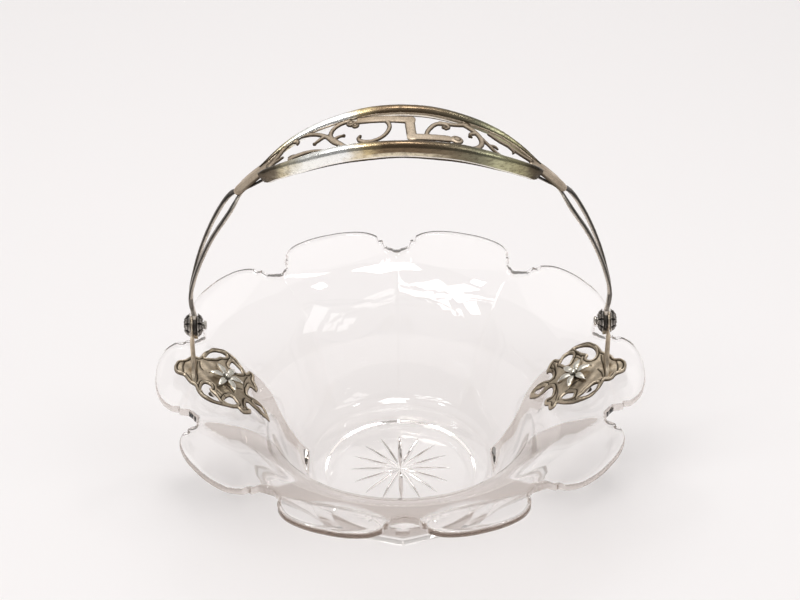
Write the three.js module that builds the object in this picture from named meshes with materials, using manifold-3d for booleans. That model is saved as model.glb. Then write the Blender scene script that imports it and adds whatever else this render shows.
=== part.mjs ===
// Glass jardiniere with a hinged openwork handle, in millimetres, +Z up.
// The origin is the centre of the foot, X runs through both pivots and -Y faces the viewer.
import * as THREE from 'three';
import { mergeVertices } from 'three/addons/utils/BufferGeometryUtils.js';
import Module from 'manifold-3d';

const wasm = await Module();
wasm.setup();

// Glass bowl: ten petals, smooth inside, ten flat panels outside
const petalCount = 10;
const bowlHeight = 71.5;
const rimRadius = 121;
const petalDepth = 16.5;
const rimThickness = 3.5;
const rimRounding = 1.1;
const floorRadius = 45;
const floorThickness = 11.8;
const footCornerRadius = 51;
const notchBiteRadius = 3.2;
const toothBiteRadius = 1.5;
const starRayCount = 16;
const starRayInner = 1.5;
const starRayOuter = 26;
const starRayWidth = 2.2;
const starDepth = 1.3;

// Bail: a half circle of strap on two short legs; angles are taken from the top of the arch
const pivotHeight = 101.2;
const legHeight = 12.3;
const strapThickness = 1.8;
const eyeRadius = 4.7;
const eyeTipLength = 8.8;
const strandWidth = 2.2;
const loopHalfSpacing = 10.5;
const neckHalfWidth = 1.7;
const neckLength = 14.3;

// Grip: pierced panel between two rolled rails
const gripHalfAngle = 0.852;
const railHalfAngle = 0.689;
const webHalfWidth = 12.7;
const panelThickness = 1.2;
const railWidth = 5.4;
const railDrop = 5;
const railCrown = 2.2;
const railWall = 1.1;
const railLap = 1.6;
const scrollWidth = 1.9;
const barWidth = 4.6;

// Brackets: pierced plaques with an upright ear
const plaqueInset = 19;
const plaqueLength = 37.8;
const plaqueHalfWidth = 22;
const plaqueThickness = 2;
const nibLength = 10.1;
const earThickness = 1.2;
const earFootHalfWidth = 9;
const earStemHalfWidth = 1.6;
const earEyeRadius = 4.6;

// Pivots and fixings
const pinRadius = 1.5;
const pinBeadRadius = 2.2;
const pinBeadLength = 1.4;
const rosetteRadius = 6.1;
const rosettePetals = 9;
const innerRosetteHeight = 2.4;
const outerRosetteHeight = 3.2;
const pinSink = 1.2;
const screwInset = 15;
const screwRadius = 1.9;
const glassHoleRadius = 2.6;
const flowerRadius = 9;
const flowerHeight = 2.6;
const flowerPetals = 6;
const softWasherRadius = 5;
const softWasherThickness = 1;
const washerRadius = 4.8;
const washerThickness = 0.8;
const nutAcrossCorners = 8;
const nutThickness = 2.4;
const screwEndLength = 1.4;

// Clearances
const seatGap = 0.3;
const glassSeatGap = 0.5;
const boreGap = 0.3;
const overrun = 4;

const petalAngle = (2 * Math.PI) / petalCount;
const cornerFactor = Math.cos(petalAngle / 2);
const floorTop = floorThickness;
const notchRadius = rimRadius - petalDepth;

// Stack along the pivots, from the bracket's ear inwards to the strap and up to the grip
const plaqueFoldRadius = rimRadius - plaqueInset;
const plaqueInnerRadius = plaqueFoldRadius - plaqueLength;
const screwPlaceRadius = plaqueFoldRadius - screwInset;
const earOuterX = plaqueFoldRadius;
const earInnerX = earOuterX - earThickness;
const bailRadius = earInnerX - seatGap - strapThickness / 2;
const bailCentreHeight = pivotHeight + legHeight;
const panelRadius = bailRadius + (strapThickness + panelThickness) / 2 + seatGap;
const gripHalfLength = panelRadius * Math.sin(gripHalfAngle);
const railHalfLength = panelRadius * Math.sin(railHalfAngle);

// Colours and finishes
const glass = new THREE.MeshStandardMaterial({
  color: 0xe9efee, roughness: 0.05, metalness: 0, transparent: true, opacity: 0.35,
});
const patina = new THREE.MeshStandardMaterial({ color: 0x8a7d6c, roughness: 0.5, metalness: 0.9 });
const polished = new THREE.MeshStandardMaterial({ color: 0xb5a890, roughness: 0.2, metalness: 1 });
const darkSilver = new THREE.MeshStandardMaterial({ color: 0x6b6864, roughness: 0.35, metalness: 1 });
const softSeal = new THREE.MeshStandardMaterial({ color: 0x6e6156, roughness: 0.9, metalness: 0 });

// Solids and geometry

function toSolid(geometry) {
  const bare = geometry.clone();
  bare.deleteAttribute('normal');
  bare.deleteAttribute('uv');
  const merged = mergeVertices(bare);
  return new wasm.Manifold(new wasm.Mesh({
    numProp: 3,
    vertProperties: new Float32Array(merged.attributes.position.array),
    triVerts: new Uint32Array(merged.index.array),
  }));
}

function toGeometry(body) {
  const mesh = body.getMesh();
  const geometry = new THREE.BufferGeometry();
  geometry.setAttribute('position', new THREE.BufferAttribute(mesh.vertProperties, 3));
  geometry.setIndex(new THREE.BufferAttribute(mesh.triVerts, 1));
  return geometry;
}

function joinAll(geometries) {
  return geometries.map(toSolid).reduce((joined, next) => joined.add(next));
}

// Skin through rings of equal count; a ring of one point closes an end
function loft(rings) {
  const positions = [];
  const starts = [];
  for (const ring of rings) {
    starts.push(positions.length / 3);
    for (const point of ring) positions.push(...point);
  }
  const faces = [];
  for (let k = 0; k + 1 < rings.length; k++) {
    const near = rings[k].length;
    const far = rings[k + 1].length;
    const count = Math.max(near, far);
    for (let i = 0; i < count; i++) {
      const j = (i + 1) % count;
      const a = starts[k] + (near > 1 ? i : 0);
      const b = starts[k] + (near > 1 ? j : 0);
      const c = starts[k + 1] + (far > 1 ? i : 0);
      const d = starts[k + 1] + (far > 1 ? j : 0);
      if (near > 1) faces.push(a, b, c);
      if (far > 1) faces.push(b, d, c);
    }
  }
  const geometry = new THREE.BufferGeometry();
  geometry.setAttribute('position', new THREE.Float32BufferAttribute(positions, 3));
  geometry.setIndex(faces);
  return geometry;
}

// A lofted turning with its axis on Z: stations of [radius, height], and a ripple for petals
function turned(stations, sides, rippleAt = () => 1) {
  const rings = stations.map(([radius, height]) => {
    if (radius === 0) return [[0, 0, height]];
    return Array.from({ length: sides }, (_, i) => {
      const angle = (2 * Math.PI * i) / sides;
      const r = radius * rippleAt(angle, radius);
      return [r * Math.cos(angle), r * Math.sin(angle), height];
    });
  });
  return loft(rings);
}

function shapeFrom(points, holes = []) {
  const wound = (loop, clockwise) => {
    const vectors = loop.map(([x, y]) => new THREE.Vector2(x, y));
    return THREE.ShapeUtils.isClockWise(vectors) === clockwise ? vectors : vectors.reverse();
  };
  const shape = new THREE.Shape(wound(points, false));
  for (const hole of holes) shape.holes.push(new THREE.Path(wound(hole, true)));
  return shape;
}

function smoothed(points, steps, closed = false) {
  const curve = new THREE.CatmullRomCurve3(
    points.map(([x, y]) => new THREE.Vector3(x, y, 0)), closed, 'centripetal');
  const samples = curve.getPoints(steps);
  if (closed) samples.pop();
  return samples.map((point) => [point.x, point.y]);
}

function prism(shape, low, high) {
  const geometry = new THREE.ExtrudeGeometry(shape, { depth: high - low, bevelEnabled: false });
  geometry.translate(0, 0, low);
  return geometry;
}

// Turns a prism drawn in Y and Z so that its length runs along X
const alongX = new THREE.Matrix4().makeBasis(
  new THREE.Vector3(0, 1, 0), new THREE.Vector3(0, 0, 1), new THREE.Vector3(1, 0, 0));

function circlePoints(radius, sides, centreX = 0, centreY = 0) {
  return Array.from({ length: sides }, (_, i) => {
    const angle = (2 * Math.PI * i) / sides;
    return [centreX + radius * Math.cos(angle), centreY + radius * Math.sin(angle)];
  });
}

function mesh(name, geometry, material) {
  const piece = new THREE.Mesh(geometry, material);
  piece.name = name;
  return piece;
}

// Profiles of the glass wall. Each row is a share of the way out and a share of the way up.
const innerWallShares = [
  [0, 0], [0.059, 0.03], [0.132, 0.137], [0.197, 0.271], [0.243, 0.422], [0.289, 0.564],
  [0.355, 0.665], [0.447, 0.765], [0.553, 0.858], [0.658, 0.926], [0.776, 0.97], [0.882, 0.992],
  [1, 1],
];
const outerWallShares = [
  [0, 0], [0.066, 0.081], [0.138, 0.191], [0.21, 0.329], [0.265, 0.456], [0.308, 0.574],
  [0.374, 0.699], [0.466, 0.801], [0.577, 0.882], [0.702, 0.95], [0.84, 0.985], [1, 1],
];
const rimUnderside = bowlHeight - rimThickness;
const rimCornerRadius = rimRadius / cornerFactor;

function profile(shares, fromRadius, toRadius, fromHeight, toHeight) {
  const points = shares.map(([out, up]) => [
    fromRadius + (toRadius - fromRadius) * out,
    fromHeight + (toHeight - fromHeight) * up,
  ]);
  return smoothed(points, 96);
}

const innerProfile = profile(innerWallShares, floorRadius, rimRadius, floorTop, bowlHeight);
const outerProfile = profile(outerWallShares, footCornerRadius, rimCornerRadius, 0, rimUnderside);

function heightOn(line, radius) {
  const last = line.length - 1;
  if (radius >= line[last][0]) return line[last][1];
  const k = Math.max(1, line.findIndex(([r]) => r > radius));
  const [r0, z0] = line[k - 1];
  const [r1, z1] = line[k];
  return z0 + ((z1 - z0) * (radius - r0)) / (r1 - r0);
}

function radiusOn(line, height) {
  const k = Math.max(1, line.findIndex(([, z]) => z > height));
  const [r0, z0] = line[k - 1];
  const [r1, z1] = line[k];
  return r0 + ((r1 - r0) * (height - z0)) / (z1 - z0);
}

function slopeOn(line, radius) {
  const step = rimThickness / 2;
  const rise = heightOn(line, radius + step) - heightOn(line, radius - step);
  return Math.atan2(rise, 2 * step);
}

// Plan outline of the rim: shares of half a petal from the notch, and of the way out to the tip
const petalOutlineShares = [
  [0, 0], [0.13, 0.1], [0.24, 0.45], [0.39, 0.78], [0.62, 0.96],
];

function petalStations() {
  const stations = [];
  for (let petal = 0; petal < petalCount; petal++) {
    const centre = petal * petalAngle;
    const half = petalAngle / 2;
    const outline = petalOutlineShares.map(([turn, out]) => ({
      offset: half * (1 - turn),
      reach: notchRadius + (rimRadius - notchRadius) * out,
    }));
    for (const { offset, reach } of outline) stations.push({ centre, offset: -offset, reach });
    stations.push({ centre, offset: 0, reach: rimRadius });
    for (const { offset, reach } of outline.slice(1).reverse()) {
      stations.push({ centre, offset, reach });
    }
  }
  return stations;
}

// Levels of the steep wall, and of the flaring flange from its start to the rim
const wallLevelShares = [0.13, 0.4, 0.67];
const flangeStartShare = 0.85;
const flangeShares = [0.26, 0.58];

function bowlBlank() {
  const stations = petalStations();
  const ring = (radiusAt, heightAt) => stations.map((station) => {
    const angle = station.centre + station.offset;
    const radius = radiusAt(station);
    return [radius * Math.cos(angle), radius * Math.sin(angle), heightAt(radius, station)];
  });
  const insideHeight = (radius) => heightOn(innerProfile, radius);
  const cornerOf = (radius, station) => (radius * Math.cos(station.offset)) / cornerFactor;
  const outsideHeight = (radius, station) => heightOn(outerProfile, cornerOf(radius, station));
  const panelRadius = (corner, station) => (corner * cornerFactor) / Math.cos(station.offset);
  const inside = [ring(() => floorRadius, () => floorTop)];
  for (const share of [...wallLevelShares, flangeStartShare]) {
    const height = floorTop + (bowlHeight - floorTop) * share;
    const radius = radiusOn(innerProfile, height);
    inside.push(ring(() => radius, () => height));
  }
  const flangeRadius = radiusOn(innerProfile, floorTop + (bowlHeight - floorTop) * flangeStartShare);
  for (const share of flangeShares) {
    inside.push(ring(
      ({ reach }) => flangeRadius + (reach - flangeRadius) * share, insideHeight));
  }
  const setBack = ({ reach }) => reach - rimRounding;
  const edge = [
    ring(setBack, insideHeight),
    ring(({ reach }) => reach, (radius) => insideHeight(radius) - rimRounding),
    ring(({ reach }) => reach, (radius, station) => outsideHeight(radius, station) + rimRounding),
    ring(setBack, outsideHeight),
  ];
  const flangeCorner = radiusOn(outerProfile, rimUnderside * flangeStartShare);
  const outside = [...flangeShares].reverse().map((share) => ring((station) => {
    const start = panelRadius(flangeCorner, station);
    return start + (station.reach - start) * share;
  }, outsideHeight));
  for (const share of [flangeStartShare, ...[...wallLevelShares].reverse(), 0]) {
    const height = rimUnderside * share;
    const corner = share === 0 ? footCornerRadius : radiusOn(outerProfile, height);
    outside.push(ring((station) => panelRadius(corner, station), () => height));
  }
  return loft([[[0, 0, floorTop]], ...inside, ...edge, ...outside, [[0, 0, 0]]].reverse());
}

// Saw-tooth bites of the cutting wheel: one at the bottom of each notch and two up each side,
// each a share of half a petal from the notch and of the way out to the tip
const toothShares = [[0.15, 0.17], [0.25, 0.5]];

function notchCutters() {
  const cutters = [];
  const depth = bowlHeight - rimUnderside + 2 * overrun;
  const addBite = (angle, radius, size, sides) => {
    const bite = new THREE.CylinderGeometry(size, size, depth + 2 * rimThickness, sides);
    bite.rotateX(Math.PI / 2);
    bite.translate(radius * Math.cos(angle), radius * Math.sin(angle), rimUnderside);
    cutters.push(bite);
  };
  for (let i = 0; i < petalCount; i++) {
    const notchAngle = (i + 0.5) * petalAngle;
    addBite(notchAngle, notchRadius + notchBiteRadius / 2, notchBiteRadius, 8);
    for (const [turn, out] of toothShares) {
      const radius = notchRadius + (rimRadius - notchRadius) * out + toothBiteRadius / 2;
      for (const side of [-1, 1]) {
        addBite(notchAngle + (side * turn * petalAngle) / 2, radius, toothBiteRadius, 5);
      }
    }
  }
  return cutters;
}

function starCutters() {
  const length = starRayOuter - starRayInner;
  return Array.from({ length: starRayCount }, (_, i) => {
    const ray = new THREE.OctahedronGeometry(1);
    ray.scale(length / 2, starRayWidth / 2, starDepth);
    ray.translate(starRayInner + length / 2, 0, 0);
    ray.rotateZ((2 * Math.PI * i) / starRayCount);
    return ray;
  });
}

// The screw stands square to the glass where the plaque lies
const screwTilt = slopeOn(innerProfile, screwPlaceRadius);
const screwSeatHeight = heightOn(innerProfile, screwPlaceRadius);

function onScrewAxis(geometry) {
  const placed = geometry.clone();
  placed.rotateY(-screwTilt);
  placed.translate(screwPlaceRadius, 0, screwSeatHeight);
  return placed;
}

// Depth of the outside of the glass below the screw's seat, walking down beside the axis
function glassDepthBeside(offset) {
  const step = seatGap / 10;
  const startRadius = screwPlaceRadius + offset * Math.cos(screwTilt);
  const startHeight = screwSeatHeight + offset * Math.sin(screwTilt);
  let depth = 0;
  for (;;) {
    const radius = startRadius + depth * Math.sin(screwTilt);
    const height = startHeight - depth * Math.cos(screwTilt);
    if (height < heightOn(outerProfile, radius / cornerFactor)) return depth;
    depth += step;
  }
}

function glassBowl() {
  const hole = new THREE.CylinderGeometry(
    glassHoleRadius, glassHoleRadius, 2 * (rimThickness + 2 * overrun), 16);
  hole.rotateX(Math.PI / 2);
  const rightHole = onScrewAxis(hole);
  const leftHole = rightHole.clone();
  leftHole.rotateZ(Math.PI);
  const cutters = joinAll([...notchCutters(), ...starCutters(), rightHole, leftHole]);
  return toGeometry(toSolid(bowlBlank()).subtract(cutters));
}

// Bracket, drawn for the right side. Plan outlines are shares of the way from the fold
// inwards and of the half width; the other bracket is the same casting turned half round.
const plaqueOutlineShares = [
  [0, 0.41], [0.1, 0.57], [0.21, 0.87], [0.37, 1], [0.5, 0.94], [0.62, 0.8], [0.685, 0.86],
  [0.755, 0.79], [0.75, 0.64], [0.69, 0.55], [0.7, 0.36], [0.79, 0.39], [0.9, 0.42],
  [0.985, 0.42], [0.995, 0.33], [0.92, 0.22], [0.8, 0.14], [0.7, 0.02], [0.68, -0.22],
  [0.72, -0.36], [0.79, -0.34], [0.815, -0.46], [0.76, -0.56], [0.67, -0.64], [0.55, -0.83],
  [0.4, -0.96], [0.25, -0.9], [0.12, -0.6], [0, -0.41],
];
const plaqueOpeningShares = [
  [[0.12, 0.42], [0.2, 0.66], [0.34, 0.8], [0.44, 0.72], [0.36, 0.6], [0.29, 0.62], [0.27, 0.38]],
  [[0.47, 0.74], [0.58, 0.68], [0.61, 0.56], [0.51, 0.57]],
  [[0.16, 0.06], [0.25, 0.16], [0.31, 0.1], [0.24, -0.06]],
  [[0.5, 0.05], [0.57, 0.14], [0.62, 0.04], [0.56, -0.14]],
  [[0.12, -0.42], [0.27, -0.38], [0.29, -0.6], [0.37, -0.58], [0.45, -0.7], [0.34, -0.8],
    [0.2, -0.7]],
  [[0.47, -0.74], [0.51, -0.57], [0.62, -0.5], [0.6, -0.66]],
];
const nibOutlineShares = [
  [0, 1], [0.24, 0.9], [0.38, 0.66], [0.55, 0.48], [0.8, 0.37], [0.95, 0.18], [1, 0],
];

function plaquePlan() {
  const place = ([inwards, across]) => [
    plaqueFoldRadius - plaqueLength * inwards, plaqueHalfWidth * across];
  const nib = (side) => nibOutlineShares.map(([out, across]) => [
    plaqueFoldRadius + nibLength * out, side * earFootHalfWidth * across]);
  const inner = smoothed(plaqueOutlineShares.map(place), 56);
  const outline = [...inner, ...nib(-1), ...nib(1).reverse().slice(1)];
  const openings = plaqueOpeningShares.map((loop) => smoothed(loop.map(place), 10, true));
  return shapeFrom(outline, openings);
}

// Sheet that follows the inside of the glass between two heights above it
function followingSheet(low, high) {
  const lengthSteps = 8;
  const widthSteps = 4;
  const from = plaqueInnerRadius - overrun;
  const to = plaqueFoldRadius + nibLength + overrun;
  const sheetHalf = plaqueHalfWidth + overrun;
  const point = (x, y, above) => {
    const radius = Math.hypot(x, y);
    const lift = above / Math.cos(slopeOn(innerProfile, radius));
    return [x, y, heightOn(innerProfile, radius) + lift];
  };
  const rings = [];
  for (let i = 0; i <= lengthSteps; i++) {
    const x = from + ((to - from) * i) / lengthSteps;
    const ring = [];
    for (let j = 0; j <= widthSteps; j++) {
      ring.push(point(x, sheetHalf * ((2 * j) / widthSteps - 1), low));
    }
    for (let j = widthSteps; j >= 0; j--) {
      ring.push(point(x, sheetHalf * ((2 * j) / widthSteps - 1), high));
    }
    rings.push(ring);
  }
  return loft([[rings[0][0]], ...rings, [rings[lengthSteps][0]]]);
}

const plaqueLow = glassSeatGap + softWasherThickness + seatGap;
const plaqueHigh = plaqueLow + plaqueThickness;

// Upright ear in the plane of Y and Z, from the fold up to the pivot
const earSideShares = [
  [0, 1], [0.1, 0.86], [0.24, 0.5], [0.4, 0.14], [0.6, 0], [1, 0],
];

function earOutline() {
  const foot = heightOn(innerProfile, plaqueFoldRadius) + plaqueLow + seatGap;
  const neck = pivotHeight - earEyeRadius;
  const side = smoothed(earSideShares.map(([up, out]) => [
    earStemHalfWidth + (earFootHalfWidth - earStemHalfWidth) * out,
    foot + (neck - foot) * up,
  ]), 9);
  const eye = [];
  const steps = 12;
  const start = Math.asin(earStemHalfWidth / earEyeRadius);
  for (let i = 0; i <= steps; i++) {
    const angle = -Math.PI / 2 + start + ((2 * Math.PI - 2 * start) * i) / steps;
    eye.push([earEyeRadius * Math.cos(angle), pivotHeight + earEyeRadius * Math.sin(angle)]);
  }
  const mirrored = side.map(([y, z]) => [-y, z]).reverse();
  const bore = circlePoints(pinRadius + boreGap, 12, 0, pivotHeight);
  return shapeFrom([...side.slice(0, -1), ...eye, ...mirrored.slice(1)], [bore]);
}

function bracket() {
  const plan = toSolid(prism(plaquePlan(), floorTop, pivotHeight));
  const sheet = toSolid(followingSheet(plaqueLow, plaqueHigh));
  const screwHole = new THREE.CylinderGeometry(
    screwRadius + boreGap, screwRadius + boreGap, 2 * overrun + plaqueHigh, 12);
  screwHole.rotateX(Math.PI / 2);
  const ear = prism(earOutline(), earInnerX, earOuterX);
  ear.applyMatrix4(alongX);
  const plaque = plan.intersect(sheet).subtract(toSolid(onScrewAxis(screwHole)));
  return toGeometry(plaque.add(toSolid(ear)));
}

// Screw with a petalled flower for a head, and what it clamps under the glass
const glassAtScrew = Math.max(
  glassDepthBeside(-softWasherRadius), glassDepthBeside(0), glassDepthBeside(softWasherRadius));
const softWasherOuterTop = -glassAtScrew - glassSeatGap;
const washerTop = softWasherOuterTop - softWasherThickness - seatGap;
const nutTop = washerTop - washerThickness - seatGap;
const screwEnd = nutTop - nutThickness - screwEndLength;

// Head of the screw: shares of the flower's radius and height
const flowerShares = [
  [0.34, 0], [0.4, 0.26], [0.97, 0.42], [1, 0.6], [0.42, 0.56], [0.26, 0.92], [0, 1],
];
const petalRootShare = 0.46;

function flowerScrew() {
  const seat = plaqueHigh + seatGap;
  const petal = (angle, radius) => {
    if (radius < flowerRadius / 2) return 1;
    return petalRootShare + (1 - petalRootShare) * Math.abs(Math.cos((flowerPetals / 2) * angle));
  };
  const stations = [
    [0, screwEnd], [screwRadius, screwEnd], [screwRadius, seat],
    ...flowerShares.map(([out, up]) => [flowerRadius * out, seat + flowerHeight * up]),
  ];
  return onScrewAxis(turned(stations, 18, petal));
}

function ringPlate(outerRadius, innerRadius, top, thickness, sides) {
  const shape = shapeFrom(circlePoints(outerRadius, sides), [circlePoints(innerRadius, 12)]);
  return onScrewAxis(prism(shape, top - thickness, top));
}

// Bail profile in X and Z
function onArch(radius, angle) {
  return [radius * Math.sin(angle), bailCentreHeight + radius * Math.cos(angle)];
}

function archBand(radius, thickness, fromAngle, toAngle, steps, legEnd = null) {
  const outer = [];
  const inner = [];
  for (let i = 0; i <= steps; i++) {
    const angle = fromAngle + ((toAngle - fromAngle) * i) / steps;
    outer.push(onArch(radius + thickness / 2, angle));
    inner.push(onArch(radius - thickness / 2, angle));
  }
  if (legEnd !== null) {
    outer.push([radius + thickness / 2, legEnd]);
    inner.push([radius - thickness / 2, legEnd]);
  }
  return shapeFrom([...outer, ...inner.reverse()]);
}

function acrossY(shape, halfWidth) {
  const geometry = prism(shape, -halfWidth, halfWidth);
  geometry.rotateX(Math.PI / 2);
  return geometry;
}

// Split strap arm, drawn for the right side as seen along X. The centre line of a strand:
// shares of the way up from the neck to the leaf's tip, and of the widest half spacing.
const strandShares = [
  [0, 0.08], [0.035, 0.2], [0.075, 0.4], [0.14, 0.65], [0.23, 0.86], [0.34, 0.97], [0.45, 1],
  [0.56, 0.95], [0.67, 0.86], [0.78, 0.74], [0.88, 0.54], [0.95, 0.24], [1, 0.09], [1.04, 0.13],
  [1.09, 0.28], [1.14, 0.4],
];

function strapArm() {
  const neckTop = pivotHeight + neckLength;
  const tipHeight = onArch(bailRadius, gripHalfAngle)[1];
  const strandSteps = 22;
  const strand = (side) => strokeShape(strandShares.map(([up, out]) => [
    side * loopHalfSpacing * out, neckTop + (tipHeight - neckTop) * up,
  ]), strandWidth, strandWidth, strandSteps);
  const eyeSteps = 9;
  const eyeEnd = Math.acos(neckHalfWidth / eyeRadius);
  const eyeStart = -Math.PI / 3;
  const eye = Array.from({ length: eyeSteps + 1 }, (_, i) => {
    const angle = eyeStart + ((eyeEnd - eyeStart) * i) / eyeSteps;
    return [eyeRadius * Math.cos(angle), pivotHeight + eyeRadius * Math.sin(angle)];
  });
  const tip = [strapThickness / 2, pivotHeight - eyeTipLength];
  const half = [tip, ...eye, [neckHalfWidth, neckTop]];
  const mirrored = half.map(([y, z]) => [-y, z]).reverse();
  const bore = circlePoints(pinRadius + boreGap, 12, 0, pivotHeight);
  const eyePlate = shapeFrom([...half, ...mirrored], [bore]);
  const side = joinAll([eyePlate, strand(1), strand(-1)].map((shape) => {
    const plate = prism(shape, 0, rimRadius);
    plate.applyMatrix4(alongX);
    return plate;
  }));
  const band = archBand(
    bailRadius, strapThickness, railHalfAngle, Math.PI / 2, 9, pivotHeight - eyeTipLength - overrun);
  return toGeometry(side.intersect(toSolid(acrossY(band, loopHalfSpacing + overrun))));
}

// Grip: half width of the open web at a share of the way from the middle to the rail end
const webShares = [
  [0, 1], [0.2, 0.97], [0.41, 0.87], [0.63, 0.74], [0.77, 0.585], [0.88, 0.4], [0.955, 0.27],
  [1, 0.22],
];
const webSpline = smoothed(webShares.map(([along, across]) => [
  railHalfLength * along, webHalfWidth * across]), 48);

function webHalfAt(x) {
  return heightOn(webSpline, Math.abs(x));
}

// Leaf ends of the panel beyond the rails: shares of the way to the tip and of the half width
const leafShares = [[0, 1], [0.25, 0.9], [0.5, 0.8], [0.75, 0.64], [0.92, 0.4], [1, 0]];

function panelOutline() {
  const steps = 14;
  const side = [];
  for (let i = -steps; i <= steps; i++) {
    const x = (railHalfLength * i) / steps;
    side.push([x, webHalfAt(x) + railLap]);
  }
  const rootHalf = webHalfAt(railHalfLength) + railLap;
  const leaf = smoothed(leafShares.map(([out, across]) => [
    railHalfLength + (gripHalfLength - railHalfLength) * out, rootHalf * across]), 10);
  const upper = [...leaf.slice(1).reverse().map(([x, y]) => [-x, y]), ...side, ...leaf.slice(1)];
  const lower = upper.slice(1, -1).map(([x, y]) => [x, -y]).reverse();
  return [...upper, ...lower];
}

// The open web stops short of the rails' ends
const webEndShare = 0.86;

function webOutline() {
  const steps = 14;
  const end = railHalfLength * webEndShare;
  const side = [];
  for (let i = -steps; i <= steps; i++) {
    const x = (end * i) / steps;
    const closing = i === -steps || i === steps ? 0 : webHalfAt(x) - seatGap;
    side.push([x, closing]);
  }
  return [...side, ...side.slice(1, -1).map(([x, y]) => [x, -y]).reverse()];
}

// Scrolls of the openwork. Each point is a share of the rail half length and of the web half
// width, and each stroke tapers from its first to its second width, as shares of scrollWidth.
const scrollShares = [
  { widths: [1.3, 1.3], points: [[0.06, 0.72], [-0.12, 0.74], [-0.28, 0.78]] },
  { widths: [1.9, 1.9], points: [[-0.25, 0.78], [-0.3, 0.6], [-0.36, 0.5]] },
  { widths: [1.2, 0.7], points: [[-0.1, 0.72], [-0.07, 0.25], [-0.11, -0.35], [-0.19, -0.7],
    [-0.28, -0.62], [-0.3, -0.4], [-0.26, -0.34]] },
  { widths: [1.2, 1], points: [[-0.38, 0.84], [-0.47, 0.5], [-0.49, -0.05], [-0.45, -0.5], [-0.38, -0.86]] },
  { widths: [1.3, 0.5], points: [[-0.47, 0.1], [-0.44, -0.12], [-0.4, -0.1]] },
  { widths: [1.2, 1], points: [[-0.85, 0.2], [-0.76, 0.42], [-0.65, 0.5], [-0.55, 0.2],
    [-0.5, -0.3], [-0.42, -0.82]] },
  { widths: [1.3, 0.5], points: [[-0.6, 0.36], [-0.6, 0.06], [-0.56, -0.04]] },
  { widths: [1.4, 0.5], points: [[-0.88, -0.1], [-0.76, -0.16], [-0.66, -0.34], [-0.58, -0.32]] },
  { widths: [1.2, 0.5], points: [[-0.86, 0.1], [-0.8, 0.05], [-0.74, 0.18]] },
  { widths: [1.7, 1.5], points: [[0.1, -0.78], [0.22, -0.74], [0.37, -0.6]] },
  { widths: [2.3, 2.3], points: [[0.34, -0.62], [0.38, -0.56], [0.42, -0.48]] },
  { widths: [1.2, 0.7], points: [[0.2, -0.36], [0.17, 0.05], [0.2, 0.42], [0.28, 0.58],
    [0.34, 0.4], [0.31, 0.14]] },
  { widths: [1.2, 1.1], points: [[0.27, 0.6], [0.38, 0.58], [0.48, 0.66]] },
  { widths: [1.3, 1], points: [[0.44, 0.66], [0.54, 0.4], [0.58, -0.04], [0.56, -0.44], [0.48, -0.84]] },
  { widths: [1.4, 0.5], points: [[0.52, 0.4], [0.5, 0.18], [0.53, 0.04]] },
  { widths: [1.2, 1], points: [[0.57, 0.1], [0.64, -0.02], [0.7, -0.3], [0.76, -0.5]] },
  { widths: [1.2, 0.5], points: [[0.68, -0.2], [0.7, 0.05], [0.74, 0.1]] },
  { widths: [1.4, 0.6], points: [[0.86, 0.05], [0.78, 0.22], [0.7, 0.42], [0.64, 0.5]] },
  { widths: [1.2, 0.5], points: [[0.87, -0.05], [0.8, -0.12], [0.77, -0.32]] },
];

function strokeShape(points, startWidth, endWidth, steps = 2 * points.length) {
  const line = smoothed(points, steps);
  const left = [];
  const right = [];
  line.forEach(([x, y], i) => {
    const [x0, y0] = line[Math.max(0, i - 1)];
    const [x1, y1] = line[Math.min(line.length - 1, i + 1)];
    const length = Math.hypot(x1 - x0, y1 - y0);
    const half = (startWidth + ((endWidth - startWidth) * i) / (line.length - 1)) / 2;
    const across = [(-(y1 - y0) / length) * half, ((x1 - x0) / length) * half];
    left.push([x + across[0], y + across[1]]);
    right.push([x - across[0], y - across[1]]);
  });
  return shapeFrom([...right, ...left.reverse()]);
}

function gripPanel() {
  const low = bailCentreHeight;
  const high = bailCentreHeight + panelRadius + overrun;
  const frame = toSolid(prism(shapeFrom(panelOutline(), [webOutline()]), low, high));
  const strokes = scrollShares.map(({ widths, points }) => prism(strokeShape(
    points.map(([along, across]) => [railHalfLength * along, webHalfWidth * across]),
    scrollWidth * widths[0], scrollWidth * widths[1]), low, high));
  const barX = barWidth;
  const bar = prism(shapeFrom([
    [barX - barWidth / 2, -webHalfWidth], [barX + barWidth / 2, -webHalfWidth],
    [barX + barWidth / 2, webHalfWidth], [barX - barWidth / 2, webHalfWidth],
  ]), low, high);
  const plan = frame.add(joinAll([...strokes, bar]));
  const reach = gripHalfAngle + overrun / panelRadius;
  const band = archBand(panelRadius, panelThickness, -reach, reach, 18);
  return toGeometry(plan.intersect(toSolid(acrossY(band, rimRadius))));
}

// Rolled rail: a crowned moulding that laps the panel's edge and turns down outside it.
// Rows are shares of the rail's width outwards, and of its crown above or its drop below.
const railSkinShares = [
  [0, 0.12], [0.08, 0.5], [0.24, 0.86], [0.45, 1], [0.66, 0.86], [0.84, 0.42], [0.96, -0.15],
  [1, -0.6], [0.98, -1],
];
const railInsideShares = [[0.98, -1], [1, -0.55], [0.86, -0.2]];
// Size of the section at a share of the way from the middle to the rail's end
const railTaperShares = [[0, 1], [0.41, 1.05], [0.65, 0.88], [0.8, 0.8], [1, 0.84]];
const railTaper = smoothed(railTaperShares, 24);

function railSection(size) {
  const width = railWidth * size;
  const drop = railDrop * size;
  const skin = railSkinShares.map(([out, up]) => [
    width * out, up > 0 ? seatGap + railCrown * size * up : drop * up]);
  const inside = railInsideShares.map(([out, up]) => [width * out - railWall, drop * up]);
  return [...skin, ...inside, [railLap + 2 * seatGap, seatGap]];
}

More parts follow.
